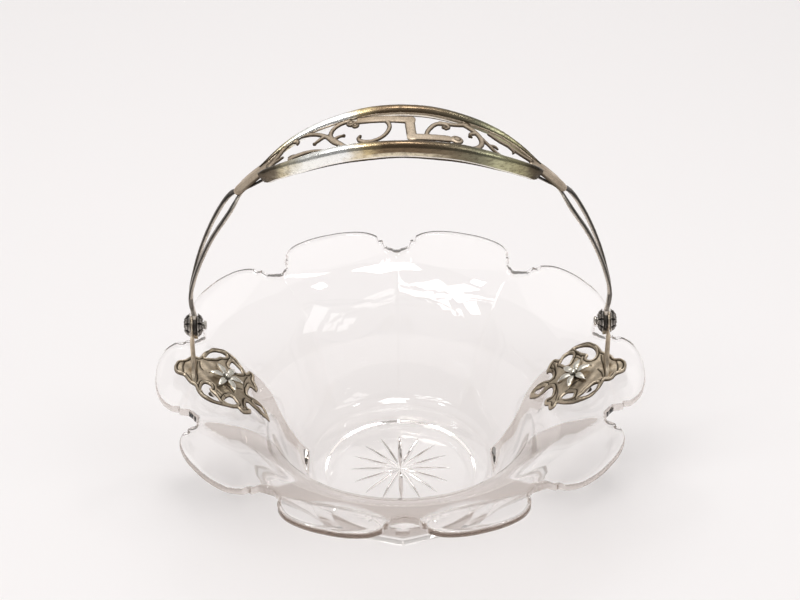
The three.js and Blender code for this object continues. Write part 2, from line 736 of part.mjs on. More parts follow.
// Bar swept through rings of one section, its two ends filled flat
function sweptBar(rings, section) {
  const skin = loft(rings);
  const outline = section.map(([x, y]) => new THREE.Vector2(x, y));
  const clockwise = THREE.ShapeUtils.isClockWise(outline);
  const last = skin.attributes.position.count - section.length;
  const faces = [...skin.index.array];
  for (const face of THREE.ShapeUtils.triangulateShape(outline, [])) {
    const [a, b, c] = clockwise ? [...face].reverse() : face;
    faces.push(c, b, a, last + a, last + b, last + c);
  }
  skin.setIndex(faces);
  return skin;
}

function rail(side) {
  const steps = 18;
  const topRadius = panelRadius + panelThickness / 2;
  const ordered = (points) => (side > 0 ? [...points].reverse() : points);
  const rings = [];
  for (let i = 0; i <= steps; i++) {
    const x = railHalfLength * ((2 * i) / steps - 1);
    const angle = Math.asin(x / topRadius);
    const size = heightOn(railTaper, Math.abs(x) / railHalfLength);
    rings.push(ordered(railSection(size).map(([out, up]) => {
      const [px, pz] = onArch(topRadius + up, angle);
      return [px, side * (webHalfAt(x) + out), pz];
    })));
  }
  return sweptBar(rings, ordered(railSection(1)));
}

// Pivot pieces are drawn with their axis on Z, head upwards, and laid along X
function layOnPivot(geometry, faceX, outwards) {
  const placed = geometry.clone();
  placed.rotateY(outwards ? Math.PI / 2 : -Math.PI / 2);
  placed.translate(faceX, 0, pivotHeight);
  return placed;
}

const innerRosetteX = bailRadius - strapThickness / 2 - seatGap;
const outerRosetteX = earOuterX + seatGap;
const beadX = innerRosetteX - innerRosetteHeight - seatGap;
const pinEndX = outerRosetteX + pinSink;

// Domes of the rosettes: shares of their radius and height
const innerRosetteShares = [[1, 0], [1, 0.3], [0.84, 0.62], [0.62, 0.86], [0.42, 1]];
const outerRosetteShares = [[1, 0], [1, 0.3], [0.8, 0.7], [0.4, 1]];
const scallopShare = 0.9;

function rosetteRipple(angle, radius) {
  if (radius < rosetteRadius / 2) return 1;
  return scallopShare + (1 - scallopShare) * Math.abs(Math.cos((rosettePetals / 2) * angle));
}

function innerRosette() {
  const bore = pinRadius + boreGap;
  const stations = [
    [bore, 0],
    ...innerRosetteShares.map(([out, up]) => [rosetteRadius * out, innerRosetteHeight * up]),
    [bore, innerRosetteHeight], [bore, 0],
  ];
  return layOnPivot(turned(stations, 2 * rosettePetals, rosetteRipple), innerRosetteX, false);
}

function outerRosette() {
  const bore = pinRadius + boreGap;
  const stations = [
    [0, pinSink + seatGap], [bore, pinSink + seatGap], [bore, 0],
    ...outerRosetteShares.map(([out, up]) => [rosetteRadius * out, outerRosetteHeight * up]),
    [0, outerRosetteHeight],
  ];
  return layOnPivot(turned(stations, 2 * rosettePetals, rosetteRipple), outerRosetteX, true);
}

function pivotPin() {
  const length = pinEndX - beadX;
  const bead = [];
  const steps = 4;
  for (let i = 1; i < steps; i++) {
    const angle = (Math.PI * i) / steps;
    bead.push([pinBeadRadius * Math.sin(angle), (pinBeadLength * (1 - Math.cos(angle))) / 2]);
  }
  const stations = [
    [0, -length], [pinRadius, -length], [pinRadius, 0], ...bead, [0, pinBeadLength],
  ];
  return layOnPivot(turned(stations, 12), beadX, false);
}

// Assembly
const jardiniere = new THREE.Group();
jardiniere.add(mesh('glass_bowl', glassBowl(), glass));

const screwBore = screwRadius + boreGap;
const sidePieces = [
  ['bracket', bracket(), patina],
  ['flower_screw', flowerScrew(), patina],
  ['inner_soft_washer', ringPlate(
    softWasherRadius, screwBore, glassSeatGap + softWasherThickness, softWasherThickness, 16), softSeal],
  ['outer_soft_washer', ringPlate(
    softWasherRadius, screwBore, softWasherOuterTop, softWasherThickness, 16), softSeal],
  ['metal_washer', ringPlate(washerRadius, screwBore, washerTop, washerThickness, 16), darkSilver],
  ['nut', ringPlate(nutAcrossCorners / 2, screwBore, nutTop, nutThickness, 6), darkSilver],
  ['pivot_pin', pivotPin(), darkSilver],
  ['inner_rosette', innerRosette(), darkSilver],
  ['outer_rosette', outerRosette(), darkSilver],
];
for (const [name, geometry, material] of sidePieces) {
  const right = mesh(`${name}_right`, geometry, material);
  const left = mesh(`${name}_left`, geometry, material);
  left.rotation.z = Math.PI;
  jardiniere.add(right, left);
}

const bail = new THREE.Group();
const arm = strapArm();
const rightArm = mesh('strap_arm_right', arm, darkSilver);
const leftArm = mesh('strap_arm_left', arm, darkSilver);
leftArm.rotation.z = Math.PI;
bail.add(
  rightArm, leftArm,
  mesh('grip_panel', gripPanel(), patina),
  mesh('front_rail', rail(-1), polished),
  mesh('back_rail', rail(1), polished),
);
jardiniere.add(bail);

export default jardiniere;
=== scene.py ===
"""Pressed glass jardiniere with a hinged openwork handle of antique silver."""

import math

import bpy
import numpy as np
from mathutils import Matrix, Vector


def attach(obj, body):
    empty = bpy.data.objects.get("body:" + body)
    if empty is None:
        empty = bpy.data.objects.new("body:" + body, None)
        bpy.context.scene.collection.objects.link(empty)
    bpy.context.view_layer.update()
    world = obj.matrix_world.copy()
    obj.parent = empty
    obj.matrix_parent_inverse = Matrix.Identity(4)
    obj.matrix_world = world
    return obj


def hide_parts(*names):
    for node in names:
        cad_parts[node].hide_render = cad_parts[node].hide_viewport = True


bl_info = {
    "name": "Glass Jardiniere",
    "version": (1, 0, 0),
    "blender": (4, 5, 0),
    "location": "View3D > Sidebar > Jardiniere",
    "description": "Models a petalled glass bowl with a pierced swing handle",
    "category": "Object",
}

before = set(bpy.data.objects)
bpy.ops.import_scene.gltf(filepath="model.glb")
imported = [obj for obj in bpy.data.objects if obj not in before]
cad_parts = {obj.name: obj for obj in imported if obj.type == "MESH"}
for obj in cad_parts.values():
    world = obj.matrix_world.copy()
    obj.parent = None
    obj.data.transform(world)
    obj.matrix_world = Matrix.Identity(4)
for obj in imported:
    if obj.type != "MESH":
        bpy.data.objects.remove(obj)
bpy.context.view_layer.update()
MM = 0.001
# Sides of a round bar
ROUND_SIDES = 32

# Sizes and tables are in millimetres where nothing else is said. X runs through both pivots,
# and +Y is the back.
PETALS = 10
PETAL_DEGREES = 360 / PETALS
# Half a petal, which is also where the first notch lies, counted from X
HALF_DEGREES = PETAL_DEGREES / 2

# Inside of the glass, turned: radius and height
INSIDE = [
    (45, 11.8), (49.5, 13.8), (55, 20), (60, 28), (63.5, 37), (67, 45.5), (72, 51.5),
    (79, 57.5), (87, 63), (95, 67.2), (104, 69.8), (112, 71), (121, 71.5),
]
# Outside of the glass: radius to the corner between two panels, and height
OUTSIDE = [
    (51, 0), (56, 5.5), (61.5, 13), (67, 22.4), (71.2, 31), (74.5, 39), (79.5, 47.5),
    (86.5, 54.5), (95, 60), (104.5, 64.6), (115, 67), (127.2, 68),
]
# Plan of the rim: degrees from the notch, and radius
RIM_PLAN = [
    (0, 104.5), (2, 105.5), (4.2, 112), (6, 116.1), (8.5, 118.9), (12, 120.4), (15, 120.95),
    (18, 120.98),
]
# Bites of the cutting wheel, on both sides of the notch: degrees from it, radius of the bite's
# centre, and its size
RIM_BITES = [(0, 107.3, 3.2), (2.7, 108.2, 1.6), (4.3, 112.9, 1.6)]
# Radius of the rounded rim, and of the edge of the inside floor
RIM_ROUND = 1.3
WELL_RADIUS = 45.2
# Degrees over which the edge between two panels is rounded
ARRIS_DEGREES = 0.9
# Points round a petal lie closer together within so many degrees of the notch
NOTCH_DEGREES, NOTCH_POINTS, LOBE_POINTS = 6, 24, 16
# Radii of the rings of vertices over the floor and up the inside wall, and how the further ones
# share the way out to the rim
FLOOR_RINGS = [0, 8, 20, 32, 41, 44]
WALL_RINGS = [
    45, 45.8, 46.8, 48, 49.4, 51, 53, 55, 57.5, 60, 62, 63.8, 65.5, 67, 69, 71.5, 74.5, 78, 82, 86,
]
LOBE_SHARES = [0.12, 0.25, 0.38, 0.5, 0.62, 0.74, 0.85, 0.94, 1]
# Radii to the corner of the rings down the outside
CORNER_RINGS = [84, 81.5, 79, 77, 75.3, 73.6, 72, 70, 68, 66, 64, 62, 60, 58, 56, 54.5, 53, 52]
# Edge of the foot, which has the panels' corners, and its round underside: radius and height
FOOT_EDGE = [(51.3, 0.45), (50.9, 0.15), (50.3, 0.05)]
FOOT_RING = [(46, 0.05), (39.2, 0.05), (38.4, 0.15), (37.6, 0.75), (36.8, 1), (31, 1)]
# Star cut into the underside: its rays, the length over which they come to a point, the half
# width of a ray and its share of the room between two, the slope of its sides, and the radii of
# its rings. The underside around it lies at STAR_LOW.
STAR_RAYS = 16
STAR_REACH = 25.6
STAR_POINT = 9
STAR_HALF_WIDTH = 1.1
STAR_ROOM_SHARE = 0.42
STAR_SLOPE = 0.75
STAR_LOW = 1
STAR_RINGS = [27, STAR_REACH, 24.6, 23, 21, 18.5, 16, 13.5, 11, 9, 7, 5.5, 4.2, 3, 2, 1.2, 0]


def smooth_line(points, steps, closed=False):
    """A flowing line through points, with steps pieces between each two. Lengths are taken in the
    first two columns, and any further columns flow along."""
    points = np.asarray(points, float)
    if closed:
        points = np.vstack([points[-1:], points, points[:2]])
    else:
        points = np.vstack([2 * points[0] - points[1], points, 2 * points[-1] - points[-2]])
    gaps = np.linalg.norm(np.diff(points[:, :2], axis=0), axis=1)[:, None] + 1e-9
    speeds = np.diff(points, axis=0) / gaps
    turns = (speeds[:-1] * gaps[1:] + speeds[1:] * gaps[:-1]) / (gaps[1:] + gaps[:-1])
    t = np.linspace(0, 1, steps, endpoint=False)[:, None]
    pieces = []
    for k in range(1, len(points) - 2):
        start, end, gap = points[k], points[k + 1], gaps[k]
        out, into = turns[k - 1] * gap, turns[k] * gap
        pieces.append(
            start * (1 + 2 * t) * (1 - t) ** 2 + end * t**2 * (3 - 2 * t)
            + out * t * (1 - t) ** 2 - into * t**2 * (1 - t)
        )
    if not closed:
        pieces.append(points[-2:-1])
    return np.vstack(pieces)


INSIDE_LINE = smooth_line(INSIDE, 12)
OUTSIDE_LINE = smooth_line(OUTSIDE, 12)


def inside_height(radius):
    return np.interp(radius, INSIDE_LINE[:, 0], INSIDE_LINE[:, 1])


def outside_height(corner):
    return np.interp(corner, OUTSIDE_LINE[:, 0], OUTSIDE_LINE[:, 1])


# Handling of objects


def deselect_all():
    if bpy.context.object and bpy.context.object.mode != "OBJECT":
        bpy.ops.object.mode_set(mode="OBJECT")
    bpy.ops.object.select_all(action="DESELECT")


def take(piece):
    """Makes piece the only selected object."""
    deselect_all()
    piece.select_set(True)
    bpy.context.view_layer.objects.active = piece


def coordinates(piece):
    places = np.empty(3 * len(piece.data.vertices))
    piece.data.vertices.foreach_get("co", places)
    return places.reshape(-1, 3)


def set_coordinates(piece, places):
    piece.data.vertices.foreach_set("co", np.asarray(places, float).ravel())
    piece.data.update()


def modify(piece, kind, **settings):
    """Adds a modifier with its settings, and applies it."""
    take(piece)
    bpy.ops.object.modifier_add(type=kind)
    modifier = piece.modifiers[-1]
    for name, value in settings.items():
        setattr(modifier, name, value)
    bpy.ops.object.modifier_apply(modifier=modifier.name)


def edit(piece, *steps):
    """Runs each step, a function, on the whole mesh in edit mode."""
    take(piece)
    bpy.ops.object.mode_set(mode="EDIT")
    bpy.ops.mesh.select_all(action="SELECT")
    for step in steps:
        step()
    bpy.ops.object.mode_set(mode="OBJECT")


def merge_doubles():
    bpy.ops.mesh.remove_doubles(threshold=1e-7)


def face_outwards():
    bpy.ops.mesh.normals_make_consistent(inside=False)


def smooth_shading(piece, degrees):
    """Smooth faces, with an edge kept sharp where it turns by more than degrees."""
    take(piece)
    bpy.ops.object.shade_smooth_by_angle(angle=math.radians(degrees))


def join(pieces):
    take(pieces[0])
    for piece in pieces[1:]:
        piece.select_set(True)
    bpy.ops.object.join()
    return pieces[0]


def half_turn(piece, name):
    """The same casting on the other side of the bowl, with its own mesh."""
    twin = piece.copy()
    twin.data = piece.data.copy()
    twin.name = twin.data.name = name
    bpy.context.collection.objects.link(twin)
    set_coordinates(twin, coordinates(piece) * (-1, -1, 1))
    return twin


def order_round(places, count):
    """Number of each vertex round a circle that was added with count vertices."""
    turn = np.arctan2(places[:, 1], places[:, 0]) / (2 * math.pi) * count
    return np.rint(turn).astype(int) % count


def loft(name, rings):
    """A closed skin through rings of equal count, in millimetres. A circle is extruded once for
    each ring, and every vertex then goes to its ring's place. A ring at one point closes an end."""
    rings = np.asarray(rings, float)
    sides = rings.shape[1]
    deselect_all()
    bpy.ops.mesh.primitive_circle_add(vertices=sides, radius=1, fill_type="NOTHING")
    piece = bpy.context.object
    piece.name = piece.data.name = name
    bpy.ops.object.mode_set(mode="EDIT")
    bpy.ops.mesh.select_all(action="SELECT")
    for _ in range(len(rings) - 1):
        bpy.ops.mesh.extrude_region_move(TRANSFORM_OT_translate={"value": (0, 0, 1)})
    bpy.ops.object.mode_set(mode="OBJECT")
    places = coordinates(piece)
    level = np.rint(places[:, 2]).astype(int)
    set_coordinates(piece, rings[level, order_round(places, sides)] * MM)
    edit(piece, merge_doubles, face_outwards)
    return piece


def capped(rings):
    """Rings with an end point added at each open end."""
    ends = [np.broadcast_to(np.mean(ring, axis=0), ring.shape) for ring in (rings[0], rings[-1])]
    return [ends[0], *rings, ends[1]]


def sweep(name, path, normals, section, widths, heights, rounded=0):
    """A strand along path. The section's points are across the path and along its normal, and
    are scaled by widths and heights. A rounded end has that many rings of falling size."""
    path = np.asarray(path, float)
    normals = np.broadcast_to(normals, path.shape)
    tangents = np.gradient(path, axis=0)
    tangents /= np.linalg.norm(tangents, axis=1)[:, None]
    across = np.cross(tangents, normals)
    across /= np.linalg.norm(across, axis=1)[:, None]
    up = np.cross(across, tangents)
    widths = np.broadcast_to(widths, len(path)).astype(float)
    heights = np.broadcast_to(heights, len(path)).astype(float)
    section = np.asarray(section, float)

    def section_at(k, shift=0.0, size=1.0):
        """The section at point k, moved along the path by shift."""
        centre = path[k] + tangents[k] * shift
        return (
            centre
            + across[k] * section[:, :1] * widths[k] * size
            + up[k] * section[:, 1:] * heights[k] * size
        )

    rings = [section_at(k) for k in range(len(path))]
    if rounded:
        turns = [math.pi / 2 * (k + 1) / (rounded + 1) for k in range(rounded)]
        before = [section_at(0, -heights[0] * math.sin(t), math.cos(t)) for t in turns]
        after = [section_at(-1, heights[-1] * math.sin(t), math.cos(t)) for t in turns]
        rings = before[::-1] + rings + after
    return loft(name, capped(rings))


def oval(count, power):
    """A rounded section of half width and half height 1; a higher power is boxier."""
    turns = np.arange(count) * 2 * math.pi / count
    c, s = np.cos(turns), np.sin(turns)
    return np.stack([np.sign(c) * abs(c) ** (2 / power), np.sign(s) * abs(s) ** (2 / power)], 1)


# Materials


class Wire:
    """A value in a material: an expression on it adds the Math nodes."""

    def __init__(self, tree, socket):
        self.tree = tree
        self.socket = socket

    def maths(self, operation, *values, clamp=False):
        node = self.tree.nodes.new("ShaderNodeMath")
        node.operation = operation
        node.use_clamp = clamp
        for socket, value in zip(node.inputs, values):
            plug(self.tree, socket, value)
        return Wire(self.tree, node.outputs[0])

    def __add__(self, other):
        return self.maths("ADD", self, other)

    def __mul__(self, other):
        return self.maths("MULTIPLY", self, other)

    def __sub__(self, other):
        return self.maths("SUBTRACT", self, other)

    def __rsub__(self, other):
        return self.maths("SUBTRACT", other, self)

    def __gt__(self, other):
        return self.maths("GREATER_THAN", self, other)

    __radd__ = __add__
    __rmul__ = __mul__

    def clamped(self):
        return self.maths("ADD", self, 0, clamp=True)


def plug(tree, socket, value):
    """Links a Wire to socket, or sets the socket to a plain value."""
    if isinstance(value, Wire):
        tree.links.new(value.socket, socket)
    elif socket.type == "RGBA":
        socket.default_value = (*value[:3], 1)
    else:
        socket.default_value = value


class Finish:
    """The nodes of a material or of the surround."""

    def __init__(self, owner):
        owner.use_nodes = True
        self.tree = owner.node_tree
        self.tree.nodes.clear()

    def node(self, kind, settings=None, values=None, output=0):
        """Adds a node, sets its settings and then its sockets, and gives one output."""
        node = self.tree.nodes.new("ShaderNode" + kind)
        settings = dict(settings or {})
        stops = settings.pop("stops", None)
        for name, value in settings.items():
            setattr(node, name, value)
        if stops:
            ramp = node.color_ramp
            while len(ramp.elements) < len(stops):
                ramp.elements.new(1)
            for element, (place, colour) in zip(ramp.elements, stops):
                element.position = place
                element.color = (*colour, 1) if isinstance(colour, tuple) else (*[colour] * 3, 1)
        for name, value in (values or {}).items():
            plug(self.tree, node.inputs[name], value)
        return None if output is None else Wire(self.tree, node.outputs[output])

    def places(self, scale=(1, 1, 1)):
        """Object coordinates, scaled by a Mapping node."""
        here = self.node("TexCoord", output="Object")
        return self.node("Mapping", values={"Vector": here, "Scale": scale})

    def one_of(self, vector, axis):
        """The X, Y or Z of a vector."""
        return self.node("SeparateXYZ", values={"Vector": vector}, output=axis)

    def kept(self, name):
        """The number that was kept under name at each vertex."""
        return self.node("Attribute", {"attribute_name": name}, output="Fac")

    def ray(self, kind):
        """What the Light Path node says of the ray that looks."""
        return self.node("LightPath", output=kind)

    def noise(self, vector, scale, detail, roughness, distortion=0.0):
        return self.node("TexNoise", values={
            "Vector": vector, "Scale": scale, "Detail": detail, "Roughness": roughness,
            "Distortion": distortion,
        })

    def ramp(self, factor, stops):
        """A colour or shade that follows factor through the stops."""
        return self.node("ValToRGB", {"stops": stops}, {"Fac": factor})

    def rise(self, value, start, end, low=0.0, high=1.0):
        """Goes smoothly from low to high while value goes from start to end."""
        return self.node("MapRange", {"interpolation_type": "SMOOTHSTEP"}, {
            "Value": value, "From Min": start, "From Max": end, "To Min": low, "To Max": high})

    def blend(self, factor, first, second):
        """Colours mixed by factor, which the node itself keeps between 0 and 1."""
        colours = {0: factor, 6: first, 7: second}
        return self.node("Mix", {"data_type": "RGBA"}, colours, output=2)

    def mix(self, factor, first, second):
        """Shaders mixed by factor."""
        return self.node("MixShader", values={0: factor, 1: first, 2: second})

    def bump(self, height, strength, distance, below=None):
        values = {"Height": height, "Strength": strength, "Distance": distance}
        if below is not None:
            values["Normal"] = below
        return self.node("Bump", values=values)

    def principled(self, **values):
        values = {name.replace("_", " "): value for name, value in values.items()}
        return self.node("BsdfPrincipled", values=values)

    def surface(self, shader, output="OutputMaterial"):
        self.node(output, values={"Surface": shader}, output=None)


def finish_once(name):
    """A decorator: each finish is made at its first use and kept by name."""
    title = f"{name}_finish"

    def wrap(make):
        def get(context):
            if title not in bpy.data.materials:
                make(Finish(bpy.data.materials.new(title)), context.scene.jardiniere_finishes)
            return bpy.data.materials[title]

        return get

    return wrap


@finish_once("clear_glass")
def glass_finish(finish, colours):
    """Clear glass, with painted grey shade in its cuts and where it is seen along its skin. Lamp
    rays and the light of matt surfaces pass it straight, and so does light that runs about inside
    it."""
    here = finish.places()
    flow = finish.noise(here, scale=22, detail=1, roughness=0.4)
    flow = finish.bump(flow, strength=0.4, distance=0.0005)
    drawn = finish.places(scale=(1, 1, 0.25))
    draw = finish.noise(drawn, scale=60, detail=1, roughness=0.5)
    skin = finish.bump(draw, strength=0.15, distance=0.0002, below=flow)
    cut_shade = finish.kept("shade_and_tarnish")
    scratches = finish.noise(here, scale=900, detail=2, roughness=0.7)
    scratches = finish.ramp(scratches, [(0.45, 0.0), (0.6, 1.0)])
    # Painted shade: the glass is painted greyer where it is seen along its skin
    facing = finish.node("LayerWeight", values={"Blend": 0.5}, output="Facing")
    depth = finish.ramp(facing, [(0.0, 0.0), (0.8, 0.0), (0.93, 0.4), (1.0, 1.0)])
    shaded_tint = finish.blend(depth * 0.9, colours.glass_tint, colours.glass_edge)
    # Painted shade in the cuts and along the sharp edges
    shaded_tint = finish.blend(cut_shade * 0.9, shaded_tint, colours.glass_edge)
    glass = finish.principled(
        Base_Color=shaded_tint, Roughness=(cut_shade * scratches * 0.25).clamped(), IOR=1.5,
        Transmission_Weight=1.0, Normal=skin)
    clear = finish.node("BsdfTransparent", values={"Color": (0.955, 0.95, 0.946)})
    smoky = finish.node("BsdfTransparent", values={"Color": colours.trapped_tint})
    glass = finish.mix(finish.ray("Is Diffuse Ray"), glass, clear)
    glass = finish.mix(finish.ray("Glossy Depth") > 1.5, glass, smoky)
    finish.surface(finish.mix(finish.ray("Is Shadow Ray"), glass, clear))


# Depth of the grain and of the dents of the metal, in metres
GRAIN_DEPTH, DENT_DEPTH = 0.00004, 0.00012


def hammered(finish, specks, grain, dents):
    """Relief of old metal: shallow dents over a fine grain."""
    fine = finish.bump(specks, grain, GRAIN_DEPTH)
    hollows = finish.noise(finish.places(), scale=240, detail=2, roughness=0.5)
    return finish.bump(hollows, dents, DENT_DEPTH, below=fine)


def metal(finish, colour, edge, tarnish_and_shade, roughness, grain, dents, grime):
    """Old silver: a worn edge, cloudy patches and a fine grain, with the kept darkness and concave
    places painted dark, tarnish in the hollows and painted shade.
    """
    here = finish.places()
    pointed = finish.node("NewGeometry", output="Pointiness")
    # Painted shade and tarnish: the kept darkness, and concave places found by pointiness
    hollow = finish.kept("shade_and_tarnish") + finish.rise(pointed, 0.5, 0.44, high=0.6)
    crest = finish.rise(pointed, 0.52, 0.6)
    clouds = finish.noise(here, scale=90, detail=4, roughness=0.6, distortion=0.4)
    specks = finish.noise(here, scale=1400, detail=2, roughness=0.6)
    patchy = finish.ramp(clouds, [(0.38, 0.0), (0.66, 1.0)])
    dull = finish.ramp(specks, [(0.4, 0.0), (0.7, 1.0)])
    shade = finish.blend(patchy * grime, colour, tarnish_and_shade)
    shade = finish.blend(dull * (grain * 0.45), shade, tarnish_and_shade)
    shade = finish.blend(hollow * 0.95, shade, [0.3 * c for c in tarnish_and_shade])
    shade = finish.blend(crest * 0.7 - hollow, shade, edge)
    rough = (patchy * 0.16 + dull * 0.08 + hollow * 0.2 + roughness).clamped()
    finish.surface(finish.principled(
        Base_Color=shade, Metallic=1.0, Roughness=rough,
        Normal=hammered(finish, specks, grain, dents)))


@finish_once("taupe_silver")
def cast_finish(finish, colours):
    metal(finish, colours.cast_silver, edge=(0.9, 0.8, 0.66), tarnish_and_shade=(0.19, 0.145, 0.1),
          roughness=0.3, grain=0.9, dents=1.2, grime=0.65)


@finish_once("panel_silver")
def panel_finish(finish, colours):
    metal(finish, colours.panel_silver, edge=(1.0, 0.87, 0.72), tarnish_and_shade=(0.22, 0.16, 0.105),
          roughness=0.33, grain=1.0, dents=1.2, grime=0.45)


@finish_once("bright_silver")
def bright_finish(finish, colours):
    metal(finish, colours.bright_silver, edge=(1.0, 0.97, 0.9), tarnish_and_shade=(0.12, 0.1, 0.08),
          roughness=0.1, grain=0.1, dents=0.15, grime=0.3)


@finish_once("strap_silver")
def strap_finish(finish, colours):
    metal(finish, colours.strap_silver, edge=(0.95, 0.9, 0.82), tarnish_and_shade=(0.08, 0.07, 0.065),
          roughness=0.16, grain=0.3, dents=0.4, grime=0.3)


@finish_once("dark_silver")
def dark_finish(finish, colours):
    metal(finish, colours.dark_silver, edge=(0.95, 0.9, 0.82), tarnish_and_shade=(0.1, 0.085, 0.08),
          roughness=0.16, grain=0.3, dents=0.4, grime=0.3)


# Patina and painted reflection of the rails, from dark ends through a blown white stretch and gold
# and olive highlights: place along the handle in metres, and colour
RAIL_PATINA_AND_REFLECTION = [
    (-0.066, (0.07, 0.055, 0.04)), (-0.06, (0.16, 0.13, 0.095)), (-0.053, (0.7, 0.62, 0.43)),
    (-0.046, (1.0, 1.0, 0.95)), (-0.026, (1.0, 1.0, 0.98)), (-0.018, (0.66, 0.53, 0.3)),
    (-0.009, (0.2, 0.14, 0.085)), (0.01, (0.17, 0.12, 0.075)), (0.024, (0.2, 0.165, 0.11)),
    (0.036, (0.2, 0.19, 0.13)), (0.045, (0.5, 0.49, 0.31)), (0.053, (0.4, 0.37, 0.22)),
    (0.061, (0.1, 0.08, 0.055)), (0.066, (0.06, 0.05, 0.04)),
]


@finish_once("polished_silver")
def polished_finish(finish, colours):
    """Patina and painted reflection along the rail, a painted highlight in the middle of its side,
    dark mottling, a painted glint low on the side and painted shade at the lower edge."""
    fall = finish.kept("fall")
    drift = finish.noise(finish.places(), scale=130, detail=3, roughness=0.6)
    first, last = RAIL_PATINA_AND_REFLECTION[0][0], RAIL_PATINA_AND_REFLECTION[-1][0]
    along = finish.one_of(finish.places(), "X") + (drift - 0.5) * 0.012
    place = (along - first) * (1 / (last - first))
    shade = finish.ramp(place, [
        ((at - first) / (last - first), colour) for at, colour in RAIL_PATINA_AND_REFLECTION])
    # Painted highlight on the lower middle of the rail's side
    side_highlight = finish.ramp(fall + (drift - 0.5) * 0.1, [
        (0.58, 0.0), (0.68, 1.0), (0.9, 1.0), (0.95, 0.0)])
    middle = finish.ramp(place, [(0.3, 0.0), (0.4, 1.0), (0.6, 0.7), (0.68, 0.0)])
    shade = finish.blend(side_highlight * middle * 0.9, shade, colours.polished_silver)
    drawn = finish.places(scale=(0.35, 1, 1))
    specks = finish.noise(drawn, scale=900, detail=3, roughness=0.7)
    mottle = finish.ramp(specks, [(0.46, 0.0), (0.6, 1.0)])
    worn = finish.ramp(place, [(0.0, 0.5), (0.1, 0.4), (0.16, 0.02), (0.3, 0.02), (0.4, 0.45)])
    shade = finish.blend(mottle * worn, shade, (0.1, 0.075, 0.05))
    # Painted glint low on the side
    glint = finish.ramp(fall, [(0.86, 0.0), (0.89, 1.0), (0.94, 1.0), (0.955, 0.0)])
    shade = finish.blend(glint * 0.75, shade, (1.0, 0.96, 0.9))
    # Painted shade along the lower edge
    lower_edge_shade = finish.ramp(fall, [(0.95, 0.0), (0.985, 1.0)])
    shade = finish.blend(lower_edge_shade, shade, (0.07, 0.055, 0.045))
    finish.surface(finish.principled(
        Base_Color=shade, Metallic=1.0, Roughness=(mottle * 0.12 + drift * 0.16 + 0.12).clamped(),
        Normal=hammered(finish, specks, grain=0.15, dents=0.15)))


@finish_once("soft_washer")
def washer_finish(finish, colours):
    fibres = finish.noise(finish.places(), scale=2200, detail=3, roughness=0.7)
    shade = finish.blend(fibres, colours.soft_washer, [0.5 * c for c in colours.soft_washer])
    finish.surface(finish.principled(
        Base_Color=shade, Roughness=0.85,
        Normal=finish.bump(fibres, strength=0.5, distance=0.0001)))


@finish_once("studio_floor")
def floor_finish(finish, colours):
    """Pale paper that takes the shadow near the bowl and turns into an even tone further away."""
    here = finish.places()
    paper = finish.noise(here, scale=600, detail=3, roughness=0.6)
    near = finish.principled(
        Base_Color=colours.floor, Roughness=0.9, Specular_IOR_Level=0.2,
        Normal=finish.bump(paper, strength=0.05, distance=0.00005))
    far = finish.node("Emission", values={"Color": colours.far_floor, "Strength": 1.0})
    distance = finish.node("VectorMath", {"operation": "LENGTH"}, {0: here}, output="Value")
    finish.surface(finish.mix(finish.rise(distance, 0.45, 1.2), near, far))


def keep(piece, name, values):
    """Keeps a number at each vertex under name."""
    layer = piece.data.attributes.new(name, "FLOAT", "POINT")
    layer.data.foreach_set("value", values)


def darken(piece, depths):
    """Keeps how dark the finish paints each vertex, 0 to 1: painted shade on sides, undersides,
    edges and in the glass, and tarnish in the hollows of the metal.
    """
    keep(piece, "shade_and_tarnish", np.clip(depths, 0, 1))


def gaps_to(flat, line):
    """For each stretch of line: its two ends, the share of the way along it that is nearest to
    each flat place, and the gap there."""
    for start, end in zip(line, line[1:]):
        along = end[:2] - start[:2]
        share = np.clip((flat - start[:2]) @ along / (along @ along + 1e-9), 0, 1)
        gap = flat - start[:2] - share[:, None] * along
        yield start, end, share, np.hypot(gap[:, 0], gap[:, 1])


def distance_to(flat, line):
    """Distance of flat places from a line."""
    return np.minimum.reduce([gap for *_, gap in gaps_to(flat, line)])


def soft(values, place, width):
    """A bell of height 1 around place."""
    return np.exp(-(((values - place) / width) ** 2))


def paint(piece, material):
    piece.data.materials.clear()
    piece.data.materials.append(material)


def dress(piece, material, body, node):
    """Gives a piece its finish and its body, and hides the CAD node that it stands for."""
    paint(piece, material)
    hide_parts(node)
    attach(piece, body)


def dress_pair(piece, material, body, node):
    """Dresses a right piece and its twin on the left."""
    left = half_turn(piece, piece.name.replace("right", "left"))
    dress(piece, material, body, f"{node}_right")
    dress(left, material, body, f"{node}_left")


# Glass bowl


def rim_reach(degrees):
    """Radius of the rim at so many degrees from a notch, with the bites taken out."""
    plan = smooth_line(RIM_PLAN, 8)
    reach = np.interp(degrees, plan[:, 0], plan[:, 1])
    for turn, centre, size in RIM_BITES:
        for side in (-1, 1):
            angle = np.radians(degrees - side * turn)
            across = centre * np.sin(angle)
            bitten = centre * np.cos(angle) - np.sqrt(np.maximum(size**2 - across**2, 0))
            reach = np.where(abs(across) < size, np.minimum(reach, bitten), reach)
    return reach


def around():
    """Degrees from the nearest notch, and angle, of each point round the bowl."""
    half = np.concatenate([
        np.linspace(0, NOTCH_DEGREES, NOTCH_POINTS, endpoint=False),
        np.linspace(NOTCH_DEGREES, HALF_DEGREES, LOBE_POINTS, endpoint=False)])
    petal = np.concatenate([half, [HALF_DEGREES], PETAL_DEGREES - half[:0:-1]])
    turns = [HALF_DEGREES + PETAL_DEGREES * k + petal for k in range(PETALS)]
    from_notch = np.minimum(petal, PETAL_DEGREES - petal)
    return np.tile(from_notch, PETALS), np.radians(np.concatenate(turns))


